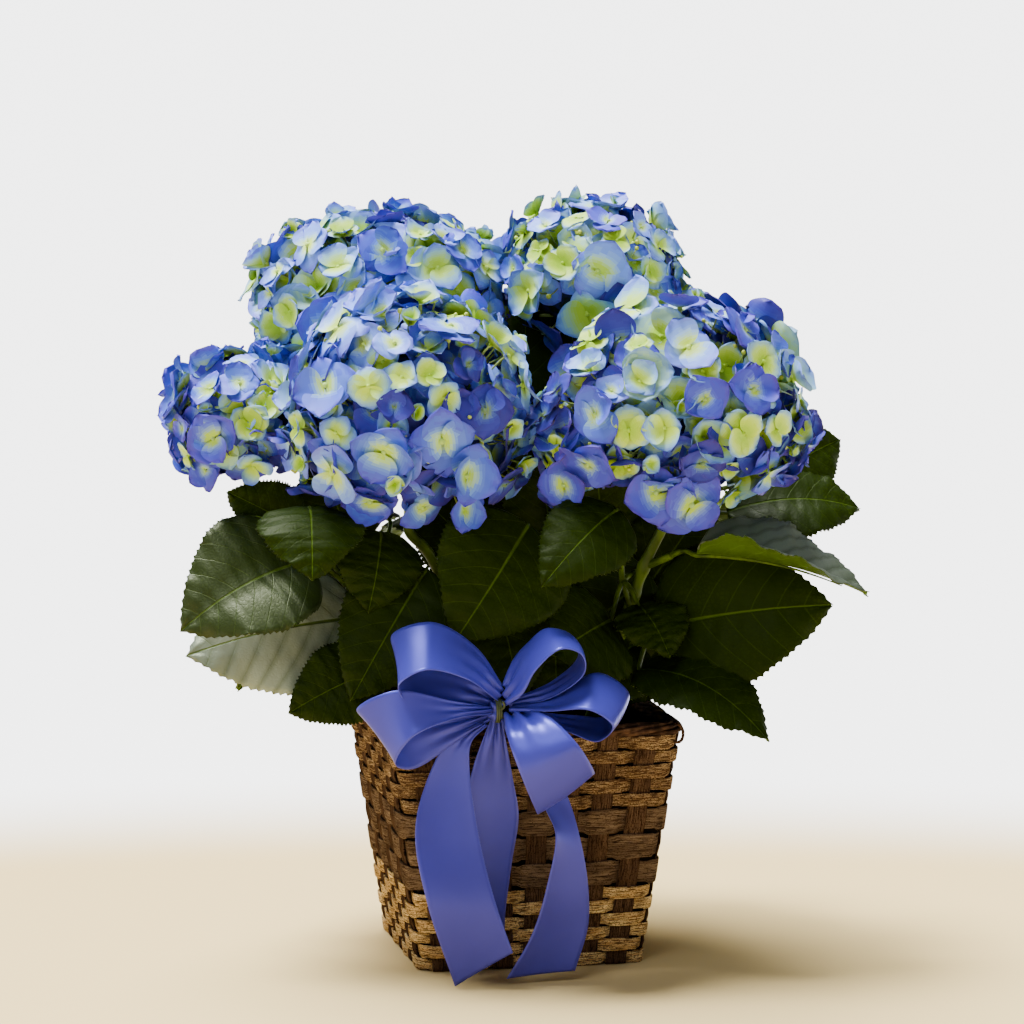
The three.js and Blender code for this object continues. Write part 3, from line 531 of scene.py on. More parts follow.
# Colours as they look, red, green and blue out of 255. A sepal's run from its throat to its edge.
SEPAL_COLOURS = {
    "sky": [(176, 206, 60), (176, 208, 150), (142, 182, 228), (106, 140, 232), (102, 110, 218)],
    "periwinkle": [(164, 196, 52), (150, 188, 168), (96, 136, 214), (68, 92, 204), (68, 66, 192)],
    "violet": [(156, 188, 50), (120, 152, 178), (74, 96, 196), (56, 62, 184), (70, 54, 172)],
    # Painted shade: this darkest blue run stands for florets that lie in shadow.
    "indigo": [(104, 134, 54), (70, 98, 158), (44, 58, 160), (36, 38, 144), (44, 32, 130)],
    "aqua": [(174, 206, 48), (174, 210, 108), (146, 192, 184), (114, 158, 210), (94, 120, 212)],
    "lime": [(142, 182, 14), (164, 198, 44), (174, 206, 100), (150, 192, 164), (106, 146, 210)],
}


# Materials

def plain_light(value):
    """A colour channel out of 255 as an amount of light."""
    share = value / 255
    return share / 12.92 if share <= 0.04045 else ((share + 0.055) / 1.055) ** 2.4


def tone(colour):
    """A colour for a socket: a wire as it is, or three numbers out of 255."""
    if isinstance(colour, Wire):
        return colour
    return (*(plain_light(value) for value in colour), 1)


class Wire:
    """A value in a material. Sums on it add the nodes that work them out."""

    def __init__(self, finish, socket):
        self.finish = finish
        self.socket = socket

    def sum(self, operation, first, second):
        return self.finish.node("ShaderNodeMath", {"operation": operation}, {0: first, 1: second})

    def __add__(self, other):
        return self.sum("ADD", self, other)

    def __sub__(self, other):
        return self.sum("SUBTRACT", self, other)

    def __rsub__(self, other):
        return self.sum("SUBTRACT", other, self)

    def __mul__(self, other):
        return self.sum("MULTIPLY", self, other)

    __radd__ = __add__
    __rmul__ = __mul__

    def larger(self, other):
        return self.sum("MAXIMUM", self, other)

    def to_nearest(self, half_gap):
        """How far the value is from the nearest multiple of twice the half gap."""
        return self.sum("PINGPONG", self, half_gap)

    def size(self):
        return self.sum("ABSOLUTE", self, 0)

    def rise(self, low, high):
        """0 below low and 1 above high."""
        return self.finish.node(
            "ShaderNodeMapRange", {"interpolation_type": "SMOOTHSTEP"},
            {"Value": self, "From Min": low, "From Max": high},
        )


class Finish:
    """A material as it is put together."""

    def __init__(self, name, colour, roughness, shader=()):
        self.material = bpy.data.materials.new(name)
        self.material.use_nodes = True
        self.tree = self.material.node_tree
        self.shader = self.tree.nodes["Principled BSDF"]
        self.set("Base Color", tone(colour))
        self.set("Roughness", roughness)
        for socket, value in dict(shader).items():
            self.set(socket, value)

    def feed(self, socket, value):
        if isinstance(value, Wire):
            self.tree.links.new(value.socket, socket)
        else:
            socket.default_value = value

    def set(self, socket, value):
        self.feed(self.shader.inputs[socket], value)

    def node(self, kind, settings=(), values=(), outlet=0):
        made = self.tree.nodes.new(kind)
        for name, value in dict(settings).items():
            setattr(made, name, value)
        for socket, value in dict(values).items():
            self.feed(made.inputs[socket], value)
        return Wire(self, made.outputs[outlet])

    def place(self, kind="Object"):
        return self.node("ShaderNodeTexCoord", outlet=kind)

    def across_and_along(self):
        spot = self.place("UV")
        split = self.tree.nodes.new("ShaderNodeSeparateXYZ")
        self.feed(split.inputs[0], spot)
        return Wire(self, split.outputs[0]), Wire(self, split.outputs[1])

    def cloud(self, scale, stretch=(1, 1, 1), kind="Object", detail=3):
        """Soft random patches, about 1 / scale metres wide."""
        moved = self.node("ShaderNodeMapping", values={"Vector": self.place(kind), "Scale": stretch})
        return self.node("ShaderNodeTexNoise", values={"Vector": moved, "Scale": scale, "Detail": detail})

    def cells(self, scale):
        """How far a point is from the edge of its random cell."""
        return self.node(
            "ShaderNodeTexVoronoi", {"feature": "DISTANCE_TO_EDGE"},
            {"Vector": self.place(), "Scale": scale},
        )

    def mix(self, share, first, second):
        return self.node(
            "ShaderNodeMix", {"data_type": "RGBA"}, {0: share, 6: tone(first), 7: tone(second)}, outlet=2)

    def relief(self, height, depth, strength=1.0):
        """Stands the surface out by depth millimetres where height is 1."""
        self.set("Normal", self.node(
            "ShaderNodeBump", values={"Height": height, "Distance": depth * MM, "Strength": strength}))


def leaf_veins(finish, width):
    """1 on the midrib and the side veins of a blade, where they are width wide."""
    across, along = finish.across_and_along()
    out = (across - 0.5).size()
    phase = (along - out * VEIN_RISE - out * out * VEIN_BEND) * SIDE_VEINS
    side_vein = 1 - phase.to_nearest(0.5).rise(0, width)
    midrib = 1 - (out * (along + 0.5)).rise(0.002, 0.0075)
    return midrib.larger(side_vein * 0.26)


def leaf_top(name, shine, painted_sheen=0):
    """The upper side of a blade. Its pale painted sheen lies between the veins and fades towards the tip."""
    finish = Finish(name, (30, 44, 2), 0.48, {
        "Specular IOR Level": shine, "Specular Tint": tone((214, 226, 178)),
    })
    blade = finish.mix(finish.cloud(22).rise(0.3, 0.7), (22, 33, 2), (42, 58, 3))
    veins = leaf_veins(finish, 0.05)
    net = finish.cells(420).rise(0, 0.3)
    ground = finish.mix(net * 0.3, (22, 34, 2), blade)
    if painted_sheen:
        along = finish.across_and_along()[1]
        between_veins = 1 - leaf_veins(finish, 0.3) * 1.3
        fading = painted_sheen - along.rise(0.6, 1) * 0.6 * painted_sheen
        # Painted sheen: a pale grey-green between the veins, where the leaf reflects the light.
        ground = finish.mix(between_veins * fading, ground, (160, 172, 160))
    finish.set("Base Color", finish.mix(veins * 0.5, ground, (74, 98, 22)))
    finish.set("Roughness", finish.cloud(60) * 0.16 + 0.4)
    finish.relief(net * 0.12 - veins, 0.5, 0.8)
    return finish.material


# The underside: its own paler green, made brighter still as painted light shining through the blade.
def leaf_underside_lit_through():
    finish = Finish("leaf_underside_lit_through", (66, 88, 14), 0.6, {"Specular IOR Level": 0.15})
    blade = finish.mix(finish.cloud(40), (48, 72, 14), (66, 92, 22))
    veins = leaf_veins(finish, 0.1)
    finish.set("Base Color", finish.mix(veins * 0.7, blade, (96, 122, 46)))
    finish.relief(veins, 0.5, 0.7)
    return finish.material


def leaf_margin():
    finish = Finish("leaf_margin", (84, 106, 30), 0.5, {"Specular IOR Level": 0.3})
    finish.set("Base Color", finish.mix(finish.cloud(90), (36, 54, 6), (78, 100, 22)))
    return finish.material


def green_stalk(name, dark, light):
    finish = Finish(name, dark, 0.45, {"Specular IOR Level": 0.15})
    streaks = finish.cloud(160, (1, 1, 0.12))
    finish.set("Base Color", finish.mix(streaks.rise(0.3, 0.7), dark, light))
    finish.set("Roughness", streaks * 0.2 + 0.36)
    finish.relief(streaks, 0.25, 0.5)
    return finish.material


def woven_strip(name, dark, light, split, splits):
    """Split bamboo or bark: long grain along the strip, with dark splits and speckles."""
    finish = Finish(name, dark, 0.5, {"Specular IOR Level": 0.0})
    grain = finish.cloud(1, (0.06, 2.4, 1), "UV", 5)
    lengths = finish.cloud(1, (0.035, 0.11, 1), "UV", 1)
    cracks = finish.cloud(1, (0.16, 1.3, 1), "UV", 4).rise(splits, splits + 0.05)
    speckles = finish.cloud(1, (1.1, 1.6, 1), "UV", 2).rise(splits + 0.02, splits + 0.08)
    wood = finish.mix(grain.rise(0.32, 0.66), dark, light)
    toned = finish.mix(lengths.rise(0.38, 0.62) * 0.5, wood, dark)
    marks = cracks.larger(speckles)
    finish.set("Base Color", finish.mix(marks * 0.85, toned, split))
    finish.set("Roughness", grain * 0.25 + 0.36)
    finish.relief(grain * 0.8 - marks, 0.45, 0.9)
    return finish.material


def dark_twig():
    finish = Finish("dark_twig", (46, 30, 22), 0.7, {"Specular IOR Level": 0.05})
    bark = finish.cloud(170)
    finish.set("Base Color", finish.mix(bark.rise(0.35, 0.7), (38, 25, 18), (88, 63, 46)))
    finish.relief(bark, 0.5, 0.7)
    return finish.material


def potting_bark(name, dark, light):
    finish = Finish(name, dark, 0.9)
    crumbs = finish.cloud(240, detail=6)
    finish.set("Base Color", finish.mix(crumbs.rise(0.4, 0.7), dark, light))
    finish.relief(crumbs, 1.2, 0.9)
    return finish.material


def basket_liner():
    finish = Finish("basket_liner", (14, 9, 5), 0.9, {"Specular IOR Level": 0.05})
    finish.set("Base Color", finish.mix(finish.cloud(50), (10, 6, 3), (20, 13, 8)))
    return finish.material


# Painted shade: the dark seen in the gaps between florets, put on the core that fills each head.
def painted_shade_core():
    finish = Finish("painted_shade_core", (30, 38, 60), 0.9, {"Specular IOR Level": 0.0})
    finish.set("Base Color", finish.mix(finish.cloud(110).rise(0.4, 0.6), (30, 44, 24), (40, 46, 96)))
    return finish.material


def satin():
    finish = Finish("satin", (62, 60, 166), 0.34, {
        "Sheen Weight": 0.05, "Sheen Roughness": 0.35, "Sheen Tint": tone((110, 130, 255)),
        "Metallic": 0.2, "Specular IOR Level": 0.7, "Specular Tint": tone((156, 164, 252)),
    })
    threads = finish.cloud(1, (900, 14, 1), "UV", 2)
    along = finish.across_and_along()[1]
    # The selvedge is a raised edge, painted lighter as a highlight along it.
    selvedge_and_highlight = 1 - (0.5 - (along - 0.5).size()).rise(0.008, 0.03)
    body = finish.mix(finish.cloud(30), (56, 56, 160), (66, 66, 174))
    finish.set("Base Color", finish.mix(selvedge_and_highlight * 0.35, body, (92, 94, 204)))
    finish.set("Roughness", threads * 0.12 + 0.28)
    finish.relief(threads * 0.2 + selvedge_and_highlight, 0.12, 0.4)
    return finish.material


def green_wire():
    finish = Finish("green_wire", (34, 44, 12), 0.45)
    finish.set("Base Color", finish.mix(finish.cloud(300), (26, 34, 10), (58, 72, 24)))
    return finish.material


def shades(colours):
    """The colours from throat to edge in even steps."""
    keys = np.linspace(0, SEPAL_SHADES - 1, len(colours))
    channels = [np.interp(range(SEPAL_SHADES), keys, channel) for channel in zip(*colours)]
    return list(zip(*channels))


def sepal_finishes():
    """One plain finish for each shade of each hue."""
    made = []
    for hue, colours in SEPAL_COLOURS.items():
        for step, colour in enumerate(shades(colours)):
            finish = Finish(f"sepal_{hue}_{step}", colour, 0.55, {
                "Specular IOR Level": 0.25, "Sheen Weight": 0.06,
                "Subsurface Weight": 0.12, "Subsurface Radius": (0.002, 0.002, 0.003),
            })
            made.append(finish.material)
    return made


# Lines, frames and joined meshes

def curve_point(four, share):
    """A point between the middle two of four points, on a centripetal curve."""
    a, b, c, d = four
    before, gap, after = (max(np.linalg.norm(q - p), 1e-9) ** 0.5 for p, q in ((a, b), (b, c), (c, d)))
    leaving = ((b - a) / before - (c - a) / (before + gap) + (c - b) / gap) * gap
    arriving = ((c - b) / gap - (d - b) / (gap + after) + (d - c) / after) * gap
    cubic = 2 * b - 2 * c + leaving + arriving
    square = 3 * c - 3 * b - 2 * leaving - arriving
    return b + share * (leaving + share * (square + share * cubic))


def line_through(points, count):
    """That many points along a smooth curve through the given ones."""
    points = np.array(points, float)
    padded = np.vstack([2 * points[0] - points[1], points, 2 * points[-1] - points[-2]])
    made = []
    for share in np.linspace(0, len(points) - 1, count):
        start = min(int(share), len(points) - 2)
        made.append(curve_point(padded[start:start + 4], share - start))
    return np.array(made)


def even_steps(points, count):
    """The same line cut into equal lengths."""
    run = np.r_[0, np.cumsum(np.linalg.norm(np.diff(points, axis=0), axis=1))]
    wanted = np.linspace(0, run[-1], count)
    return np.stack([np.interp(wanted, run, points[:, k]) for k in range(3)], 1)


def unit(vector):
    """The same direction with a length of 1."""
    vector = np.array(vector, float)
    return vector / np.linalg.norm(vector)


def two_sides(up):
    """Two directions square to up and to each other."""
    first = unit(np.cross(up, (0.3, 0.2, 1)))
    return first, np.cross(up, first)


def rod_faces(rings, sides):
    """Faces round that many rings of points, and over both ends."""
    index = np.arange(rings * sides).reshape(rings, sides)
    after = np.roll(index, -1, axis=1)
    walls = np.stack([index[:-1], after[:-1], after[1:], index[1:]], -1).reshape(-1, 4)
    return [walls, index[:1, ::-1], index[-1:]]


def tube(path, radii, sides):
    """Points and faces of a round rod along a path, closed at both ends."""
    tangents = np.gradient(path, axis=0)
    tangents /= np.linalg.norm(tangents, axis=1)[:, None]
    side = two_sides(tangents[0])[0]
    turns = np.arange(sides) * 2 * math.pi / sides
    rings = []
    for at, tangent, radius in zip(path, tangents, np.broadcast_to(radii, len(path))):
        side = unit(side - tangent * (side @ tangent))
        other = np.cross(tangent, side)
        rings.append(at + radius * (np.outer(np.cos(turns), side) + np.outer(np.sin(turns), other)))
    return np.concatenate(rings), rod_faces(len(path), sides)


def sheet(along, across):
    """Two grids that say how far along and how far across each point of a sheet lies."""
    return np.meshgrid(along, across, indexing="ij")


def lattice(rows, columns):
    """Faces of a sheet of points that has that many rows and columns of cells."""
    index = np.arange((rows + 1) * (columns + 1)).reshape(rows + 1, columns + 1)
    return np.stack([index[:-1, :-1], index[:-1, 1:], index[1:, 1:], index[1:, :-1]], -1).reshape(-1, 4)


class Gathering:
    """Many shapes that become one mesh."""

    def __init__(self):
        self.points, self.faces, self.slots, self.spots = [], [], [], []
        self.count = 0

    def add(self, points, faces, slot=0, spots=None):
        """Slot is one material's place in the list, or one for each face. Spots are the points' UV places."""
        for group in faces if isinstance(faces, list) else [faces]:
            self.faces.append(group + self.count)
            self.slots.append(np.broadcast_to(slot, len(group)))
        self.points.append(points)
        self.spots.append(np.zeros((len(points), 2)) if spots is None else spots)
        self.count += len(points)

    def piece(self, name, materials):
        mesh = bpy.data.meshes.new(name)
        corners = np.concatenate([group.ravel() for group in self.faces])
        sizes = np.concatenate([np.full(len(group), group.shape[1]) for group in self.faces])
        mesh.vertices.add(self.count)
        mesh.vertices.foreach_set("co", (np.concatenate(self.points) * MM).ravel())
        mesh.loops.add(len(corners))
        mesh.loops.foreach_set("vertex_index", corners)
        mesh.polygons.add(len(sizes))
        mesh.polygons.foreach_set("loop_start", np.cumsum(sizes) - sizes)
        mesh.polygons.foreach_set("material_index", np.concatenate(self.slots))
        mesh.polygons.foreach_set("use_smooth", np.ones(len(sizes), bool))
        mesh.uv_layers.new(name="surface")
        mesh.uv_layers[0].data.foreach_set("uv", np.concatenate(self.spots)[corners].ravel())
        mesh.update(calc_edges=True)
        for material in materials:
            mesh.materials.append(material)
        made = bpy.data.objects.new(name, mesh)
        bpy.context.scene.collection.objects.link(made)
        return made


def pick(*pieces):
    """Selects only these pieces, the first one active."""
    bpy.ops.object.select_all(action="DESELECT")
    for piece in pieces:
        piece.select_set(True)
    bpy.context.view_layer.objects.active = pieces[0]


def add_shape(add, name, **settings):
    """A new piece that starts as a plain shape."""
    bpy.ops.object.select_all(action="DESELECT")
    add(**settings)
    piece = bpy.context.active_object
    piece.name = name
    return piece


def smooth(piece):
    """Shades a piece without edges between its faces."""
    pick(piece)
    bpy.ops.object.shade_smooth()


def apply_modifier(piece, kind, **settings):
    """Reshapes a piece for good."""
    pick(piece)
    modifier = piece.modifiers.new(kind.lower(), kind)
    for name, value in settings.items():
        setattr(modifier, name, value)
    bpy.ops.object.modifier_apply(modifier=modifier.name)


def settle(piece, nodes):
    """The piece stands for these solids, which are hidden, and hangs on the root."""
    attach(piece, "root")
    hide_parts(*nodes)


# Basket

def half_width(z):
    """Half the basket's width at a height."""
    share = z / BASKET_HEIGHT
    return (BASKET_BOTTOM + (BASKET_TOP - BASKET_BOTTOM) * share) / 2


def square_outline(half, count):
    """Points round a square with rounded corners from the middle of its right side, and their way out."""
    straight = half - CORNER_RADIUS
    dense = []
    for turn in np.arange(4) * math.pi / 2:
        right = np.array([math.cos(turn), math.sin(turn), 0])
        ahead = np.array([-math.sin(turn), math.cos(turn), 0])
        for step in np.linspace(0, math.pi / 2, 9):
            x = straight + CORNER_RADIUS * math.cos(step)
            y = straight + CORNER_RADIUS * math.sin(step)
            dense.append(x * right + y * ahead)
    start = np.array([half, 0, 0])
    ring = even_steps(np.vstack([start, dense, start]), count + 1)
    away = np.roll(ring[:-1], -1, axis=0) - np.roll(ring[:-1], 1, axis=0)
    outward = np.stack([away[:, 1], -away[:, 0]], 1)
    outward /= np.linalg.norm(outward, axis=1)[:, None]
    return ring[:-1], outward


def upright_shares():
    """Where the uprights stand, as shares of the way round."""
    return np.array([(side + (place + 1) / 2) / 4 for side in range(4) for place in UPRIGHTS]) - 1 / 8


def swing(shares, row):
    """1 where a row's strip passes outside an upright, and -1 where it passes inside the next one."""
    uprights = upright_shares()
    laps = np.r_[uprights - 1, uprights, uprights + 1]
    phase = np.interp(shares, laps, np.arange(len(laps)))
    wave = np.cos(math.pi * (phase + row))
    return np.sign(wave) * np.abs(wave) ** 0.4


def row_heights():
    """The bottom, the height and the strip of each row."""
    made, low = [], 0.0
    for count, height, strip in ROWS:
        for _ in range(count):
            made.append((low, height, strip))
            low += height
    return made


def woven_row(row, low, height):
    """One strip that goes all the way round, over and under the uprights."""
    chance = random.Random(ROW_SEED + row)
    middle = low + height / 2
    ring, outward = square_outline(half_width(middle), STRIP_STEPS)
    shares = np.arange(STRIP_STEPS) / STRIP_STEPS
    wave = swing(shares, row)
    sway = ROW_SWAY * np.sin(2 * math.pi * (shares * 9 + chance.random()))
    uneven = ROW_UNEVEN * np.sin(2 * math.pi * (shares * 14 + chance.random()))
    breadth = height * np.where(wave < 0, HIDDEN_BREADTH, SHOWN_BREADTH) + uneven
    slope = (BASKET_TOP - BASKET_BOTTOM) / 2 / BASKET_HEIGHT
    way_round = shares * 8 * half_width(middle)
    points, spots = [], []
    for out, tall in STRIP_SECTION:
        stand = wave * STRIP_SWING + out * STRIP_THICKNESS + slope * tall * height
        z = np.maximum(middle + sway + tall * breadth, 0.1)
        points.append(np.column_stack([ring[:, :2] + outward * stand[:, None], z]))
        spots.append(np.column_stack([way_round, np.full(STRIP_STEPS, tall * height + 40 * row)]))
    index = np.arange(len(STRIP_SECTION) * STRIP_STEPS).reshape(-1, STRIP_STEPS)
    after = np.roll(index, -1, axis=1)
    corners = [index, np.roll(index, -1, axis=0), np.roll(after, -1, axis=0), after]
    return np.concatenate(points), np.stack(corners, -1).reshape(-1, 4), np.concatenate(spots)


def upright(share, number):
    """One flat upright, pushed in where a strip passes outside it."""
    rows = row_heights()
    middles = [low + height / 2 for low, height, _ in rows]
    waves = [swing(np.array([share]), row)[0] for row in range(len(rows))]
    at = int(round((share % 1) * RING_POINTS)) % RING_POINTS
    points, spots = [], []
    for z in np.linspace(0.5, WEAVE_TOP + 2, UPRIGHT_STEPS):
        ring, outward = square_outline(half_width(z), RING_POINTS)
        away = outward[at]
        beside = np.array([-away[1], away[0]])
        push = -UPRIGHT_SWING * np.interp(z, middles, waves)
        for out, side in UPRIGHT_SECTION:
            flat = ring[at, :2] + away * (push + out * STRIP_THICKNESS) + beside * side * UPRIGHT_WIDTH
            points.append((*flat, z))
            spots.append((z, side * UPRIGHT_WIDTH + 20 * number))
    return np.array(points), rod_faces(UPRIGHT_STEPS, len(UPRIGHT_SECTION)), np.array(spots)


def make_weave():
    """The strips that go round, and the uprights that they are woven between."""
    finishes = {name: woven_strip(f"{name}_strip", *look) for name, look in STRIP_LOOKS.items()}
    upright_finish = finishes.pop("upright")
    woven, posts = Gathering(), Gathering()
    for row, (low, height, strip) in enumerate(row_heights()):
        points, faces, spots = woven_row(row, low, height)
        woven.add(points, faces, list(finishes).index(strip), spots)
    settle(woven.piece("woven_rows", finishes.values()), ["basket_wall"])
    for number, share in enumerate(upright_shares()):
        points, faces, spots = upright(share, number)
        posts.add(points, faces, 0, spots)
    settle(posts.piece("uprights", [upright_finish]), ["basket_wall"])


def make_liner():
    """The thin box inside the weave, which also closes the underside."""
    liner = add_shape(bpy.ops.mesh.primitive_cube_add, "basket_liner", size=1)
    for vertex in liner.data.vertices:
        z = LINER_TOP if vertex.co.z > 0 else LINER_FOOT
        half = half_width(z) - LINER_INSET
        x, y = (math.copysign(half, place) for place in vertex.co[:2])
        vertex.co = Vector((x, y, z)) * MM
    bpy.ops.object.mode_set(mode="EDIT")
    bpy.ops.mesh.select_all(action="DESELECT")
    bpy.ops.object.mode_set(mode="OBJECT")
    for face in liner.data.polygons:
        face.select = face.normal.z > 0.9
    bpy.ops.object.mode_set(mode="EDIT")
    bpy.ops.mesh.delete(type="ONLY_FACE")
    bpy.ops.object.mode_set(mode="OBJECT")
    apply_modifier(liner, "SOLIDIFY", thickness=LINER_THICKNESS * MM, offset=-1)
    apply_modifier(liner, "BEVEL", width=2 * MM, segments=2, limit_method="ANGLE")
    liner.data.materials.append(basket_liner())
    settle(liner, ["basket_wall"])


def make_rim():
    """A bundle of thin twigs that twist round each other along the top edge."""
    chance = random.Random(RIM_SEED)
    twigs = Gathering()
    ring, outward = square_outline(half_width(BASKET_HEIGHT) - RIM_INSET, RIM_STEPS)
    ring = np.vstack([ring, ring[:1]])
    outward = np.vstack([outward, outward[:1]])
    shares = np.arange(RIM_STEPS + 1) / RIM_STEPS
    for number in range(RIM_TWIGS):
        turns = chance.choice([5, 7, 9, 11])
        phase = number * 2 * math.pi / RIM_TWIGS
        turn = 2 * math.pi * turns * shares + phase + 0.5 * np.sin(2 * math.pi * 3 * shares + phase)
        reach = RIM_REACH + 0.7 * np.sin(2 * math.pi * 4 * shares + phase)
        out = reach * np.cos(turn)
        z = BASKET_HEIGHT - RIM_DROP + (reach * 0.6) * np.sin(turn)
        path = np.column_stack([ring[:, :2] + outward * out[:, None], z])
        radii = TWIG_RADIUS + 0.3 * np.sin(2 * math.pi * 6 * shares + phase * 2)
        twigs.add(*tube(path, radii, 6))
    for sign_x, sign_y in ((1, -1), (-1, -1), (1, 1), (-1, 1)):
        twigs.add(*corner_hoop(sign_x, sign_y))
    settle(twigs.piece("rim_twigs", [dark_twig()]), ["basket_rim"])


def corner_hoop(sign_x, sign_y):
    """The small hoop where the rim's twig ends are tucked in at a corner."""
    reach = half_width(BASKET_HEIGHT) - HOOP_INSET
    centre = np.array([sign_x * reach, sign_y * reach, BASKET_HEIGHT - HOOP_DROP])
    wide, tall = HOOP_SIZE
    turns = np.linspace(0, 2 * math.pi, 25)
    outward = np.outer(np.cos(turns), unit((sign_x, sign_y, 0)))
    return tube(centre + wide * outward + tall * np.outer(np.sin(turns), UP), HOOP_RADIUS, 6)


def soil_reach():
    """Half the width of the soil."""
    return half_width(SOIL_TOP) - SOIL_INSET


def mound(x, y):
    """0 at the edge of the soil and 1 in its middle."""
    return 1 - (max(abs(x), abs(y)) / soil_reach()) ** 2


def make_soil():
    """The rough top of the potting mix."""
    reach = soil_reach()
    soil = add_shape(bpy.ops.mesh.primitive_grid_add, "potting_mix_surface",
                     x_subdivisions=SOIL_CELLS, y_subdivisions=SOIL_CELLS, size=2 * reach * MM)
    for vertex in soil.data.vertices:
        x, y = vertex.co.x / MM, vertex.co.y / MM
        rough = SOIL_ROUGHNESS * noise.fractal(Vector((x, y, 0)) * 0.09, 1.0, 2.0, 4)
        edge = 12 * max(0, max(abs(x), abs(y)) - reach * 0.985)
        vertex.co.z = (SOIL_TOP - SOIL_MOUND + SOIL_MOUND * mound(x, y) + rough - edge) * MM
    apply_modifier(soil, "SOLIDIFY", thickness=2 * MM, offset=-1)
    smooth(soil)
    soil.data.materials.append(potting_bark("potting_mix", (24, 16, 11), (64, 44, 28)))
    settle(soil, ["potting_mix"])


def bark_chip(chance, corners):
    """The corners of a rough chip that lies nearly flat on the soil."""
    x, y = (chance.uniform(-soil_reach(), soil_reach()) * 0.97 for _ in range(2))
    size = np.array([chance.uniform(*limits) for limits in CHIP_SIZES])
    way = unit([chance.gauss(0, 1) for _ in range(3)])
    side, other = two_sides(unit(UP + 0.5 * way))
    angle = chance.uniform(0, math.pi)
    long_way = math.cos(angle) * side + math.sin(angle) * other
    wide_way = math.cos(angle) * other - math.sin(angle) * side
    rough = np.array([[chance.uniform(0.7, 1.1) for _ in range(3)] for _ in corners])
    local = corners * rough * size
    centre = (x, y, SOIL_TOP - 0.5 + 2.5 * mound(x, y))
    points = centre + np.outer(local[:, 0], long_way) + np.outer(local[:, 1], wide_way)
    return points + np.outer(local[:, 2], np.cross(long_way, wide_way))


def make_bark_chips():
    """Bark chips strewn all over the soil."""
    chance = random.Random(CHIP_SEED)
    chips = Gathering()
    corners = np.array([(x, y, z) for x in (-1, 1) for y in (-1, 1) for z in (-1, 1)], float)
    box = np.array([(0, 1, 3, 2), (4, 6, 7, 5), (0, 4, 5, 1), (2, 3, 7, 6), (0, 2, 6, 4), (1, 5, 7, 3)])
    for _ in range(BARK_CHIPS):
        chips.add(bark_chip(chance, corners), box)
    bark = potting_bark("bark_chip", (44, 29, 19), (98, 68, 44))
    settle(chips.piece("bark_chips", [bark]), ["potting_mix"])


# Stems and flower heads

def shoulder_length(head, vector):
    """A vector's length where 1 is the surface of a ball with the head's square shoulders."""
    return (np.abs(vector) ** head["shoulder"]).sum() ** (1 / head["shoulder"])


def head_radii(head, way):
    """A head's radii across and front to back, and its rise or its drop as the way points."""
    return np.array([head["across"], head["deep"], head["rise"] if way[2] > 0 else head["drop"]])


def head_point(head, direction, share):
    """The point at that share of the way out of a head."""
    way = np.array(direction) / shoulder_length(head, np.array(direction))
    return np.array(head["centre"]) + share * way * head_radii(head, direction)


def head_reach(head, point):
    """How far out a point lies in a head: 1 on its surface."""
    away = np.array(point) - head["centre"]
    return shoulder_length(head, away / head_radii(head, away))


def keeps_to_head(name, point):
    """Whether a point is well inside this head's room rather than another's."""
    own = head_reach(HEADS[name], point) + HEAD_SPACE
    return all(other == name or own < head_reach(HEADS[other], point) for other in HEADS)


def peduncle_foot(head):
    """Where a head's bare stalk starts, at the tip of its stem."""
    return head_point(head, (0, 0, -1), 0.7) - UP * PEDUNCLE


def stem_line(name, count=120):
    """Even points along a stem, from inside the soil to its head's bare stalk."""
    foot = STEMS[name]["foot"]
    top = peduncle_foot(HEADS[name])
    points = [(*foot, SOIL_TOP - 4), (*foot, SOIL_TOP + 5), *STEMS[name]["through"], top - UP * 6, top]
    return even_steps(line_through(points, 400), count)


def stem_at(name, height):
    """The point of a stem at a height."""
    line = stem_line(name, 400)
    return line[np.argmax(line[:, 2] > height)]


def make_stem(name):
    """A ridged green stem that swells where its shoots leave it."""
    line = stem_line(name)
    masses = [*LEAF_MASSES.values(), *BACK_FANS.values()]
    nodes = [mass["height"] for mass in masses if mass.get("stem") == name]
    radii = np.linspace(STEM_FOOT_RADIUS, STEM_TIP_RADIUS, len(line))
    for height in (*nodes, OLD_NODE):
        radii = radii + NODE_SWELL * np.exp(-((line[:, 2] - height) / 4) ** 2)
    points, faces = tube(line, radii, STEM_SIDES)
    turns = np.arange(STEM_SIDES) * 2 * math.pi / STEM_SIDES
    ridges = 1 + RIDGE_HEIGHT * np.cos(turns * STEM_RIDGES)
    middles = np.repeat(line, STEM_SIDES, axis=0)
    stem = Gathering()
    stem.add(middles + (points - middles) * np.tile(ridges, len(line))[:, None], faces)
    settle(stem.piece(f"green_stem_{name}", [STALK]), [f"stem_{name}"])


def face_shades(throat, chance):
    """The shade of each face of a sepal. The throat's colour runs furthest up its middle."""
    along, across = sheet(
        (np.arange(SEPAL_ROWS) + 0.5) / SEPAL_ROWS,
        (np.arange(SEPAL_COLUMNS) + 0.5) / SEPAL_COLUMNS * 2 - 1)
    along = along + 0.16 * (across ** 2 - 0.3)
    start, end = 0.2 * throat, 0.36 + 0.58 * throat
    body = np.clip((along - start) / (end - start), 0, 1)
    edge = body * np.clip((along - 0.62) / 0.33, 0, 1)
    speckle = np.array([chance.uniform(-0.5, 0.5) for _ in range(along.size)]).reshape(along.shape)
    level = (0.75 * body + 0.25 * edge + chance.uniform(-0.08, 0.08)) * (SEPAL_SHADES - 1) + speckle
    return np.clip(np.rint(level), 0, SEPAL_SHADES - 1).astype(int).ravel()


def bent(along, lean, curve):
    """How far out and up a bent line has come at each share of its length."""
    turn = lean + curve * along
    return (np.sin(turn) - math.sin(lean)) / curve, (math.cos(lean) - np.cos(turn)) / curve


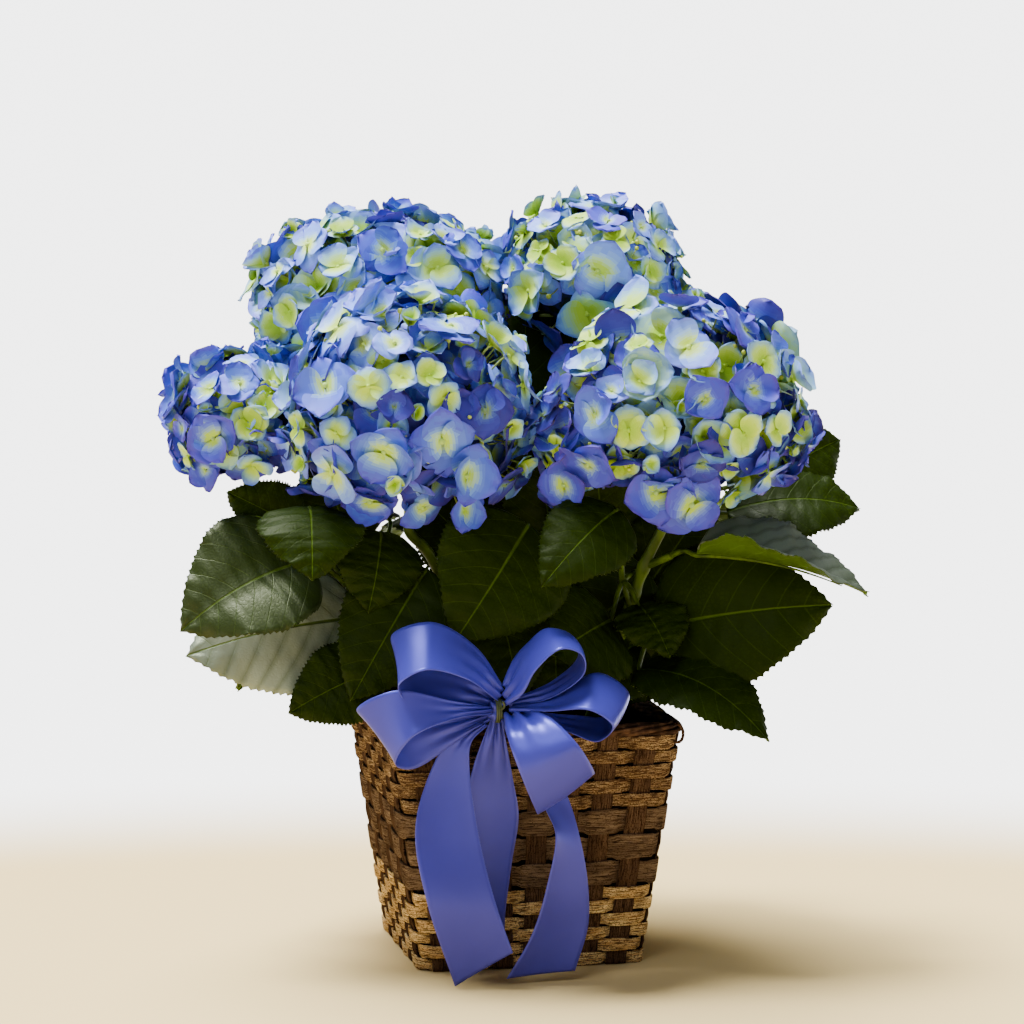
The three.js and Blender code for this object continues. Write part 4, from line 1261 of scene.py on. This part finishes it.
def sepal_sheet(size, openness, tip, chance):
    """How far out, aside and up the points of a sepal lie. The lower the tip, the blunter the sepal."""
    along, across = sheet(np.linspace(0, 1, SEPAL_ROWS + 1), np.linspace(-1, 1, SEPAL_COLUMNS + 1))
    curve = chance.uniform(*SEPAL_CURVE) or 0.1
    out, rise = bent(0.04 + 0.96 * along, openness + chance.gauss(0, 0.15), curve)
    outline = (along ** 0.6) * (1 - along) ** tip
    widest = (0.6 / (0.6 + tip)) ** 0.6 * (tip / (0.6 + tip)) ** tip
    aside = chance.uniform(*SEPAL_BREADTH) * size * across * outline / widest
    ruffles = np.sin(math.pi * (2.2 * across + 3 * along) + chance.uniform(0, 6))
    ruffle = SEPAL_RUFFLE * size * along * ruffles
    groove = SEPAL_GROOVE * size * along * np.cos(3 * math.pi * across)
    roll = chance.gauss(0, 0.14) * aside + chance.uniform(-0.2, 0.4) * np.abs(aside) * np.abs(across)
    return size * out - 0.3 * np.abs(aside) * across ** 2, aside, size * rise + ruffle + groove + roll


def add_floret(florets, at, up, radius, throat, hue, chance, openness=None):
    """Four broad sepals that overlap round a small eye."""
    side, front = two_sides(up)
    spin = chance.uniform(0, math.pi)
    if openness is None:
        openness = chance.uniform(-0.1, 0.4) if chance.random() < 0.65 else chance.uniform(0.4, 1.0)
    tip = chance.uniform(0.34, 0.75)
    first_slot = list(SEPAL_COLOURS).index(hue) * SEPAL_SHADES
    for number in range(4):
        turn = spin + number * math.pi / 2 + chance.uniform(-0.16, 0.16)
        size = radius * chance.uniform(0.84, 1.1)
        out, aside, high = sepal_sheet(size, openness, tip, chance)
        if number % 2:
            high = high + SEPAL_OVERLAP * size
        way = math.cos(turn) * side + math.sin(turn) * front
        beside = math.cos(turn) * front - math.sin(turn) * side
        points = at + out[..., None] * way + aside[..., None] * beside + high[..., None] * up
        florets.add(points.reshape(-1, 3), lattice(SEPAL_ROWS, SEPAL_COLUMNS)[:, ::-1],
                    first_slot + face_shades(throat, chance))
    eye = 0.085 * radius + 0.2
    rings = at + np.outer((-0.4, 0.5, 1.2, 1.6), up) * eye
    florets.add(*tube(rings, np.array([0.7, 1, 0.8, 0.2]) * eye, 7), first_slot + 1)


def way_at(angle, height):
    """The way out that goes at an angle round, and at a height from -1 to 1."""
    level = math.sqrt(1 - height * height)
    return np.array([level * math.cos(angle), level * math.sin(angle), height])


def floret_direction(index, count, chance):
    """The way to one of that many places, which are spread evenly from the top of a head down."""
    height = 1 - (1 - LOWEST_FLORET) * ((index + 0.5) / count)
    return way_at(index * GOLDEN_ANGLE + chance.uniform(-0.25, 0.25), height)


def outward_way(head, direction):
    """The way straight out of a head's surface."""
    return unit(np.array(direction) / head_radii(head, direction))


def in_hollow(at, radius):
    """Whether a floret would close the hollow."""
    for hollow, room in HOLLOWS:
        deep = (at - hollow) @ FRONT_AWAY
        aside = np.linalg.norm(at - hollow - deep * FRONT_AWAY)
        if -HOLLOW_MOUTH < deep < HOLLOW_DEPTH and aside < room + 0.5 * radius:
            return True
    return False


def clear_radius(name, at, up, radius):
    """The largest size at which a floret keeps to its own head's room, or 0 where none does."""
    if in_hollow(at, radius):
        return 0
    side, front = two_sides(up)
    for share in FLORET_SIZES:
        size = share * radius
        rim = [at + size * (math.cos(a) * side + math.sin(a) * front) for a in np.arange(8) * math.pi / 4]
        inside = all(head_reach(HEADS[name], point) < REACH for point in rim)
        inside = inside and head_reach(HEADS[name], at + 0.7 * size * up) < TIP_REACH
        if inside and all(keeps_to_head(name, point) for point in (at, *rim)):
            return size
    return 0


def choose_hue(head, direction, chance):
    """More violet and the darkest blue low on a head, more sky, lime and aqua at its top: the head is painted
    darker towards its underside, as painted shade.
    """
    hues = list(head["hues"])
    weights = [head["hues"][hue] for hue in hues]
    for place, hue in enumerate(hues):
        if hue in ("violet", "indigo"):
            weights[place] *= 1.5 - 0.8 * direction[2]
        if hue in ("lime", "sky", "aqua"):
            weights[place] *= 1 + 0.4 * direction[2]
    return chance.choices(hues, weights)[0]


def front_direction(head, right, high):
    """The way out of a head at a place on its front left, given as shares to the right and up."""
    power = head["shoulder"]
    nearer = max(0.0, 1 - abs(right) ** power - abs(high) ** power) ** (1 / power)
    return unit(right * FRONT_RIGHT + high * UP - nearer * FRONT_AWAY)


def add_leading(florets, stalks, name, chance):
    """The florets that have a place of their own. Returns their places and radii."""
    head = HEADS[name]
    taken = []
    for right, high, radius, hue, throat, lean_right, lean_up in LEADING[name]:
        direction = front_direction(head, right, high)
        at = head_point(head, direction, LEADING_REACH)
        up = unit(outward_way(head, direction) + lean_right * FRONT_RIGHT + lean_up * UP)
        openness = chance.uniform(-0.05, 0.5)
        add_floret(florets, at, up, radius, throat, hue, chance, openness)
        add_pedicel(stalks, head, direction, at, up)
        taken.append((at, radius))
    for at, facing, radius in HANGING.get(name, []):
        at, up = np.array(at, float), unit(facing)
        hue = "violet" if name == "front_right" else "periwinkle"
        add_floret(florets, at, up, radius, HANGING_THROAT, hue, chance)
        add_pedicel(stalks, head, unit(at - head["centre"]), at, up)
    return taken


def young_patches(chance):
    """The ways to the parts of a head where its florets are still small and green."""
    turn = chance.uniform(0, 6)
    return [way_at(turn + index * GOLDEN_ANGLE, 0.9 - 0.2 * index) for index in range(YOUNG_PATCHES)]


def floret_spot(name, direction, out, radius, kind, taken, chance):
    """A floret's place, the way that it faces and its radius, which is 0 where it has no room."""
    head = HEADS[name]
    at = head_point(head, direction, out)
    if any(np.linalg.norm(at - place) < 0.6 * (radius + other) for place, other in taken):
        if kind != "open":
            return at, UP, 0
        radius = 0.9 * radius
        at = head_point(head, direction, out - 0.15)
    lean = TOP_LEAN * max(0, direction[2]) * np.array([*direction[:2], 0])
    up = unit(outward_way(head, direction) + lean + [chance.gauss(0, 0.3) for _ in range(3)])
    return at, up, clear_radius(name, at, up, radius)


def floret_colours(head, direction, kind, young, chance):
    """A floret's hue, and how far its throat's colour spreads."""
    hue = choose_hue(head, direction, chance)
    throat = chance.uniform(0.04, 0.45) + (0.45 if chance.random() < 0.2 else 0)
    throat = min(1.0, throat + head["throat"])
    # Deep florets mostly take darker hues: painted shade in the head's depth.
    if kind == "deep":
        hue = chance.choice(["indigo", "periwinkle", "violet", hue])
    if kind == "small" or young:
        hue, throat = chance.choice(["lime", "aqua"]), chance.uniform(0.6, 1)
    return hue, throat


def make_head(name):
    """The florets, the stalks and the core of a flower head, which is painted dark as the shade between its
    florets.
    """
    head = HEADS[name]
    chance = random.Random(name)
    florets, stalks = Gathering(), Gathering()
    offset = Vector([chance.uniform(-9, 9) for _ in range(3)])
    taken = add_leading(florets, stalks, name, chance)
    patches = young_patches(chance)
    for kind, twelfths, share, scale in FLORET_LAYERS:
        count = head["florets"] * twelfths // 12
        for index in range(count):
            direction = floret_direction(index, count, chance)
            young = kind == "open" and any(direction @ patch > 0.95 for patch in patches)
            lump = noise.noise(Vector(direction) * 1.7 + offset)
            out = min(1.03, share + 0.09 * lump + chance.uniform(-0.05, 0.05) - 0.05 * young)
            wanted = FLORET_RADIUS * scale * chance.uniform(0.72, 1.16) * (0.7 if young else 1)
            at, up, radius = floret_spot(name, direction, out, wanted, kind, taken, chance)
            if radius:
                hue, throat = floret_colours(head, direction, kind, young, chance)
                openness = chance.uniform(0.6, 1.2) if kind == "small" else None
                add_floret(florets, at, up, radius, throat, hue, chance, openness)
                add_pedicel(stalks, head, direction, at, up)
    add_buds(stalks, name, chance)
    add_branches(stalks, head, chance)
    settle(florets.piece(f"florets_{name}", SEPALS), [f"head_{name}"])
    settle(stalks.piece(f"flower_stalks_{name}", [PEDICEL, BUD]), [f"head_{name}"])
    make_core(name)


def add_pedicel(stalks, head, direction, at, up):
    """A floret's own thin stalk."""
    start = head_point(head, direction, 0.5)
    path = line_through([start, (start + at) / 2 - 2 * UP, at - 3 * up, at - 0.5 * up], 6)
    stalks.add(*tube(path, PEDICEL_RADIUS, 5), 0)


def add_buds(stalks, name, chance):
    """Unopened lime buds on short stalks between the florets."""
    head = HEADS[name]
    for index in range(head["florets"] // 3):
        direction = floret_direction(index + 0.37, head["florets"] // 3, chance)
        at = head_point(head, direction, chance.uniform(0.8, 0.93))
        if not keeps_to_head(name, at) or in_hollow(at, 8):
            continue
        for _ in range(chance.choice([1, 2, 3])):
            spot = at + np.array([chance.gauss(0, 3) for _ in range(3)])
            radius = chance.uniform(0.9, 1.7)
            up = unit(outward_way(head, direction) + [chance.gauss(0, 0.3) for _ in range(3)])
            ring = np.array([0.35, 0.9, 1, 0.75, 0.2]) * radius
            stalks.add(*tube(spot + np.outer((-1, -0.5, 0.1, 0.7, 1), up) * radius, ring, 7), 1)
            stalks.add(*tube(np.array([spot - 12 * up, spot - 5 * up - 0.6 * UP, spot]), 0.45, 4), 0)


def add_branches(stalks, head, chance):
    """The peduncle and the branches that it parts into below the flowers."""
    foot = peduncle_foot(head) - UP * 2
    hub = head_point(head, (0, 0, -1), 0.42)
    stalks.add(*tube(np.array([foot, (foot + hub) / 2, hub]), (2.9, 2.8, 2.4), 12), 0)
    for index in range(BRANCHES):
        way = way_at(index * GOLDEN_ANGLE, -0.75 + 0.9 * chance.random())
        end = head_point(head, way, 0.66)
        path = line_through([foot + UP * 12, hub + 0.3 * (end - hub), end], 8)
        stalks.add(*tube(path, np.linspace(1.7, 0.9, 8), 7), 0)


def make_core(name):
    """A core that fills a head behind its florets, painted dark as the shade seen between them."""
    head = HEADS[name]
    core = add_shape(bpy.ops.mesh.primitive_ico_sphere_add, f"painted_shade_core_{name}", subdivisions=5, radius=1)
    for vertex in core.data.vertices:
        direction = np.array(vertex.co)
        share = CORE_SHARE if direction[2] > 0 else CORE_SHARE - 0.14 * abs(direction[2])
        share += 0.045 * noise.noise(vertex.co * 7)
        vertex.co = head_point(head, direction, share) * MM
    smooth(core)
    core.data.materials.append(SHADE_CORE)
    settle(core, [f"head_{name}"])


# Leaves

def blade_width(share):
    """The blade's half width at a share of its length, as a share of the widest."""
    widest = 0.5 / (0.5 + 0.9)
    return share ** 0.5 * (1 - share) ** 0.9 / (widest ** 0.5 * (1 - widest) ** 0.9)


def leaf_frame(leaf):
    """Where a blade starts, its ways along, aside and up, and its length."""
    base, tip, face = (np.array(item, float) for item in leaf[:3])
    along = unit(tip - base)
    side = unit(np.cross(along, face))
    return base, along, side, np.cross(side, along), np.linalg.norm(tip - base)


def leaf_rib(leaf, shares):
    """Points on a blade's arched midrib at shares of its length."""
    base, along, _, up, length = leaf_frame(leaf)
    shares = np.atleast_1d(shares)[:, None]
    return base + length * shares * along + 4 * leaf[4] * length * shares * (1 - shares) * up


def blade(leaf, chance):
    """A toothed blade, quilted between its side veins. Its UV runs across and along it."""
    _, along_way, side, up, length = leaf_frame(leaf)
    half_widest, fold = leaf[3] / 2, leaf[5]
    columns = np.sin(np.linspace(-math.pi / 2, math.pi / 2, LEAF_COLUMNS + 1))
    along, across = sheet(np.linspace(0.004, 1, LEAF_ROWS + 1), columns)
    half = half_widest * blade_width(along) + 0.3
    margin = np.abs(across) > 0.999
    tooth = np.where(np.arange(LEAF_ROWS + 1)[:, None] % 2 == 0, 1.0, 0.0) * margin
    reach = half * across * (1 - 0.06 * margin) + TOOTH_REACH * tooth * np.sign(across) * blade_width(along)
    forward = 0.6 * length / LEAF_ROWS * tooth
    out = UV_REACH * half * np.abs(across) / half_widest
    phase = (along - VEIN_RISE * out - VEIN_BEND * out ** 2) * SIDE_VEINS
    fading = np.sin(math.pi * np.abs(across) ** 0.8) ** 0.5
    quilt = QUILT_DEPTH * np.abs(np.sin(math.pi * phase)) ** 0.7 * fading
    groove = -MIDRIB_GROOVE * np.exp(-((across * half) / 2.2) ** 2) * (1 - along)
    wave = MARGIN_WAVE * np.sin(2 * math.pi * (2.6 * along + chance.random())) * across ** 2 * np.sign(across)
    ripple = MARGIN_RIPPLE * np.sin(2 * math.pi * (7 * along + chance.random())) * np.abs(across) ** 3
    droop = -0.1 * half * across ** 2
    high = fold * (1 - 0.6 * along) * half * np.abs(across) + quilt + groove + wave + ripple + droop
    rib = leaf_rib(leaf, along[:, 0])[:, None, :]
    points = rib + reach[..., None] * side + high[..., None] * up + forward[..., None] * along_way
    spots = np.stack([UV_REACH * half * across / half_widest + 0.5, along], -1)
    return points.reshape(-1, 3), lattice(LEAF_ROWS, LEAF_COLUMNS), spots.reshape(-1, 2)


def add_petiole(stalks, start, leaf):
    """The leaf's stalk, which runs on under the blade as its midrib."""
    base, _, _, up, _ = leaf_frame(leaf)
    rib = leaf_rib(leaf, np.linspace(0, 0.85, 9)) - 2.0 * up
    middle = start + 0.55 * (base - start) + UP * 0.08 * np.linalg.norm(base - start)
    path = line_through([start, middle, *rib], 30)
    radii = np.interp(np.linspace(0, 1, len(path)), PETIOLE_SHARES, PETIOLE_RADII)
    stalks.add(*tube(path, radii, 8), 3)


def fan_leaves(fan, seed):
    """The leaves of a fan, each a little off its rule."""
    chance = random.Random(seed)
    leaves = []
    for tier in FAN_TIERS:
        (start_reach, start_height), (tip_reach, tip_height) = tier["from"], tier["tip"]
        for turn in tier["turns"]:
            angle = math.radians(fan["middle"] + turn + chance.uniform(-5, 5))
            outward = np.array([math.cos(angle), math.sin(angle)])
            start = (*(start_reach * outward), start_height + chance.uniform(-5, 5))
            tip = (*((tip_reach + chance.uniform(0, 8)) * outward), tip_height + chance.uniform(-8, 8))
            beside = chance.uniform(-0.5, 0.5) * np.array([-outward[1], outward[0]])
            face = (*(chance.uniform(0.3, 0.8) * outward + beside), 1)
            width = tier["width"] * chance.uniform(0.9, 1.1)
            leaves.append((start, tip, face, width, chance.uniform(*FAN_ARCH), FAN_FOLD))
    return leaves


def make_leaf_mass(name, mass):
    """A shoot and its leaves, each on its petiole."""
    chance = random.Random(name)
    blades, stalks = Gathering(), Gathering()
    node = np.array(mass["node"], float)
    if "foot" in mass:
        start = np.array([*mass["foot"], SOIL_TOP - 2.0])
    else:
        start = stem_at(mass["stem"], mass["height"])
    shoot = line_through([start, (start + node) / 2, node], 12)
    stalks.add(*tube(shoot, np.linspace(SHOOT_RADIUS * 1.1, SHOOT_RADIUS, 12), 10), 3)
    finishes = [LEAF_TOP, LEAF_UNDERSIDE_LIT_THROUGH, LEAF_MARGIN, STALK]
    for number, leaf in enumerate(mass["leaves"]):
        points, faces, spots = blade(leaf, chance)
        slot = 0
        if (name, number) in SHINY_BLADES:
            slot = len(finishes)
            shiny = leaf_top(f"shiny_leaf_{name}_{number}", *SHINY_BLADES[name, number])
            finishes += [shiny, LEAF_UNDERSIDE_LIT_THROUGH, LEAF_MARGIN]
        blades.add(points, faces, slot, spots)
        add_petiole(stalks, node - 0.5 * unit(node - start), leaf)
    sheets = blades.piece(f"foliage_{name}", finishes)
    apply_modifier(sheets, "SOLIDIFY", thickness=LEAF_THICKNESS * MM, offset=-1,
                   material_offset=1, material_offset_rim=2)
    rods = stalks.piece(f"petioles_{name}", finishes)
    pick(sheets, rods)
    bpy.ops.object.join()
    settle(sheets, [f"leaves_{name}"])


# Bow

def make_ribbon(name, edges, gathers, nodes):
    """A sheet between two edges: flat across, and pleated where it is gathered."""
    long_cells, wide_cells = RIBBON_CELLS
    near = line_through(edges["near"], long_cells + 1)
    far = line_through(edges["far"], long_cells + 1)
    normal = np.cross(np.gradient(near + far, axis=0), far - near)
    normal /= np.linalg.norm(normal, axis=1)[:, None]
    ribbon = add_shape(bpy.ops.mesh.primitive_grid_add, name,
                       x_subdivisions=long_cells, y_subdivisions=wide_cells, size=1)
    for vertex in ribbon.data.vertices:
        along = vertex.co.x + 0.5
        across = vertex.co.y + 0.5
        row = min(int(round(along * long_cells)), long_cells)
        gathered = max(math.exp(-((along - end) / GATHER_REACH) ** 2) for end in gathers)
        pleat = PLEAT_DEPTH * gathered * math.sin(2 * math.pi * PLEATS * across)
        crown = RIBBON_CROWN * 4 * across * (1 - across) * (1 - gathered)
        at = near[row] * (1 - across) + far[row] * across + normal[row] * (pleat + crown)
        vertex.co = Vector(at * MM)
    apply_modifier(ribbon, "SOLIDIFY", thickness=RIBBON_THICKNESS * MM, offset=0)
    smooth(ribbon)
    ribbon.data.materials.append(SATIN)
    settle(ribbon, nodes)


def make_knot():
    """The pinched and pleated middle of the bow."""
    knot = add_shape(bpy.ops.mesh.primitive_uv_sphere_add, "bow_knot", segments=48, ring_count=24, radius=1)
    for vertex in knot.data.vertices:
        turn = math.atan2(vertex.co.z, vertex.co.x)
        pleat = 1 + 0.13 * math.sin(9 * turn)
        waist = 1 - 0.3 * math.exp(-(vertex.co.z / 0.3) ** 2)
        x = KNOT_AT[0] + KNOT_SIZE[0] * vertex.co.x * pleat * waist
        y = KNOT_AT[1] + 1.0 + KNOT_SIZE[1] * vertex.co.y * waist
        z = KNOT_AT[2] + KNOT_SIZE[2] * vertex.co.z * pleat
        vertex.co = Vector((x, y, z)) * MM
    smooth(knot)
    knot.data.materials.append(SATIN)
    settle(knot, ["bow_loops"])


def make_wire():
    """The green wire: wound round the knot, twisted in front of it, and stuck in the soil behind it."""
    wires = Gathering()
    steps = 90
    deep, tall = BINDING_SIZE
    turns = np.linspace(0, 2 * math.pi * BINDING_TURNS, steps)
    centre = np.array(KNOT_AT) + (0.5, -0.5, 0)
    ring = centre + deep * np.outer(np.cos(turns), (0, 1, 0)) + tall * np.outer(np.sin(turns), UP)
    wires.add(*tube(ring + np.outer(np.linspace(-1.3, 1.3, steps), (1, 0, 0)), 0.85, 8))
    twist = np.array([centre + (1, -4.5, 1), centre + (2.5, -6.5, 3.2), centre + (1.5, -7, 6)])
    wires.add(*tube(line_through(twist, 12), 0.75, 8))
    x, y, z = KNOT_AT
    holder = [(x, y + 4, z), (x, y + 12, z), (x + 1, y + 30, z - 6), (x + 2, y + 38, SOIL_TOP - 3)]
    wires.add(*tube(line_through(holder, 40), 1.1, 10))
    settle(wires.piece("binding_wire", [green_wire()]), ["bow_pick"])


def make_bow():
    """The loops, the tails, the knot and its wire."""
    for name, edges in LOOPS.items():
        make_ribbon(f"bow_loop_{name}", edges, (0, 1), ["bow_loops"])
    for name, edges in TAILS.items():
        make_ribbon(f"ribbon_tail_{name}", edges, (0,), [f"bow_tail_{name}"])
    make_knot()
    make_wire()


# Stage, light and camera

def make_stage():
    """A pale floor, sandy under the basket and in front of it."""
    floor = add_shape(bpy.ops.mesh.primitive_plane_add, "pale_floor", size=FLOOR_SIZE)
    paint = Finish("pale_floor", (240, 240, 240), 0.9, {"Specular IOR Level": 0.0})
    distance = paint.node(
        "ShaderNodeVectorMath", {"operation": "DISTANCE"}, {0: paint.place(), 1: SAND_MIDDLE}, outlet=1)
    paint.set("Base Color", paint.mix(distance.rise(*SAND_RADII), (207, 182, 128), (250, 250, 250)))
    floor.data.materials.append(paint.material)


def aimed(name, data, place, way):
    """A light or a camera in the scene, facing that way."""
    made = bpy.data.objects.new(name, data)
    made.location = place
    made.rotation_mode = "QUATERNION"
    made.rotation_quaternion = Vector(way).to_track_quat("-Z", "Y")
    bpy.context.scene.collection.objects.link(made)
    return made


def make_light():
    """A dim pale room, two broad suns and two soft boxes."""
    world = bpy.data.worlds.new("pale_room")
    world.use_nodes = True
    background = world.node_tree.nodes["Background"]
    background.inputs["Color"].default_value = ROOM_COLOUR
    background.inputs["Strength"].default_value = ROOM_LIGHT
    bpy.context.scene.world = world
    for name, (way, width, strength) in SUNS.items():
        sun = bpy.data.lights.new(name, "SUN")
        sun.angle = math.radians(width)
        sun.energy = strength
        aimed(name, sun, (0, 0, 0), -Vector(way))
    for name, (place, width, power) in SOFT_BOXES.items():
        box = bpy.data.lights.new(name, "AREA")
        box.shape = "SQUARE"
        box.size = width
        box.energy = power
        box.color = SOFT_BOX_COLOUR
        aimed(name, box, place, Vector(PLANT_MIDDLE) - Vector(place))


def make_camera():
    """The camera, in front of the basket to its left, and a little above it."""
    camera = bpy.data.cameras.new("camera")
    camera.sensor_width = 36
    camera.lens = CAMERA_LENS
    camera.clip_end = 400
    turn, tip = math.radians(CAMERA_TURN), math.radians(CAMERA_TIP)
    forward = (math.sin(turn) * math.cos(tip), math.cos(turn) * math.cos(tip), -math.sin(tip))
    bpy.context.scene.camera = aimed("camera", camera, CAMERA_PLACE, forward)


LEAF_TOP = leaf_top("leaf_top", PLAIN_SHINE)
LEAF_UNDERSIDE_LIT_THROUGH = leaf_underside_lit_through()
LEAF_MARGIN = leaf_margin()
STALK = green_stalk("green_stalk", (40, 56, 6), (72, 94, 16))
PEDICEL = Finish("pedicel", (130, 152, 66), 0.5).material
BUD = Finish("bud", (172, 190, 60), 0.45).material
SHADE_CORE = painted_shade_core()
SATIN = satin()
SEPALS = sepal_finishes()

make_camera()
make_stage()
make_light()
make_weave()
make_liner()
make_rim()
make_soil()
make_bark_chips()
for stem_name in STEMS:
    make_stem(stem_name)
for head_name in HEADS:
    make_head(head_name)
for mass_name, leaf_mass in LEAF_MASSES.items():
    make_leaf_mass(mass_name, leaf_mass)
for seed, (fan_name, leaf_fan) in enumerate(BACK_FANS.items()):
    make_leaf_mass(fan_name, {**leaf_fan, "leaves": fan_leaves(leaf_fan, seed)})
make_bow()

bpy.context.view_layer.update()
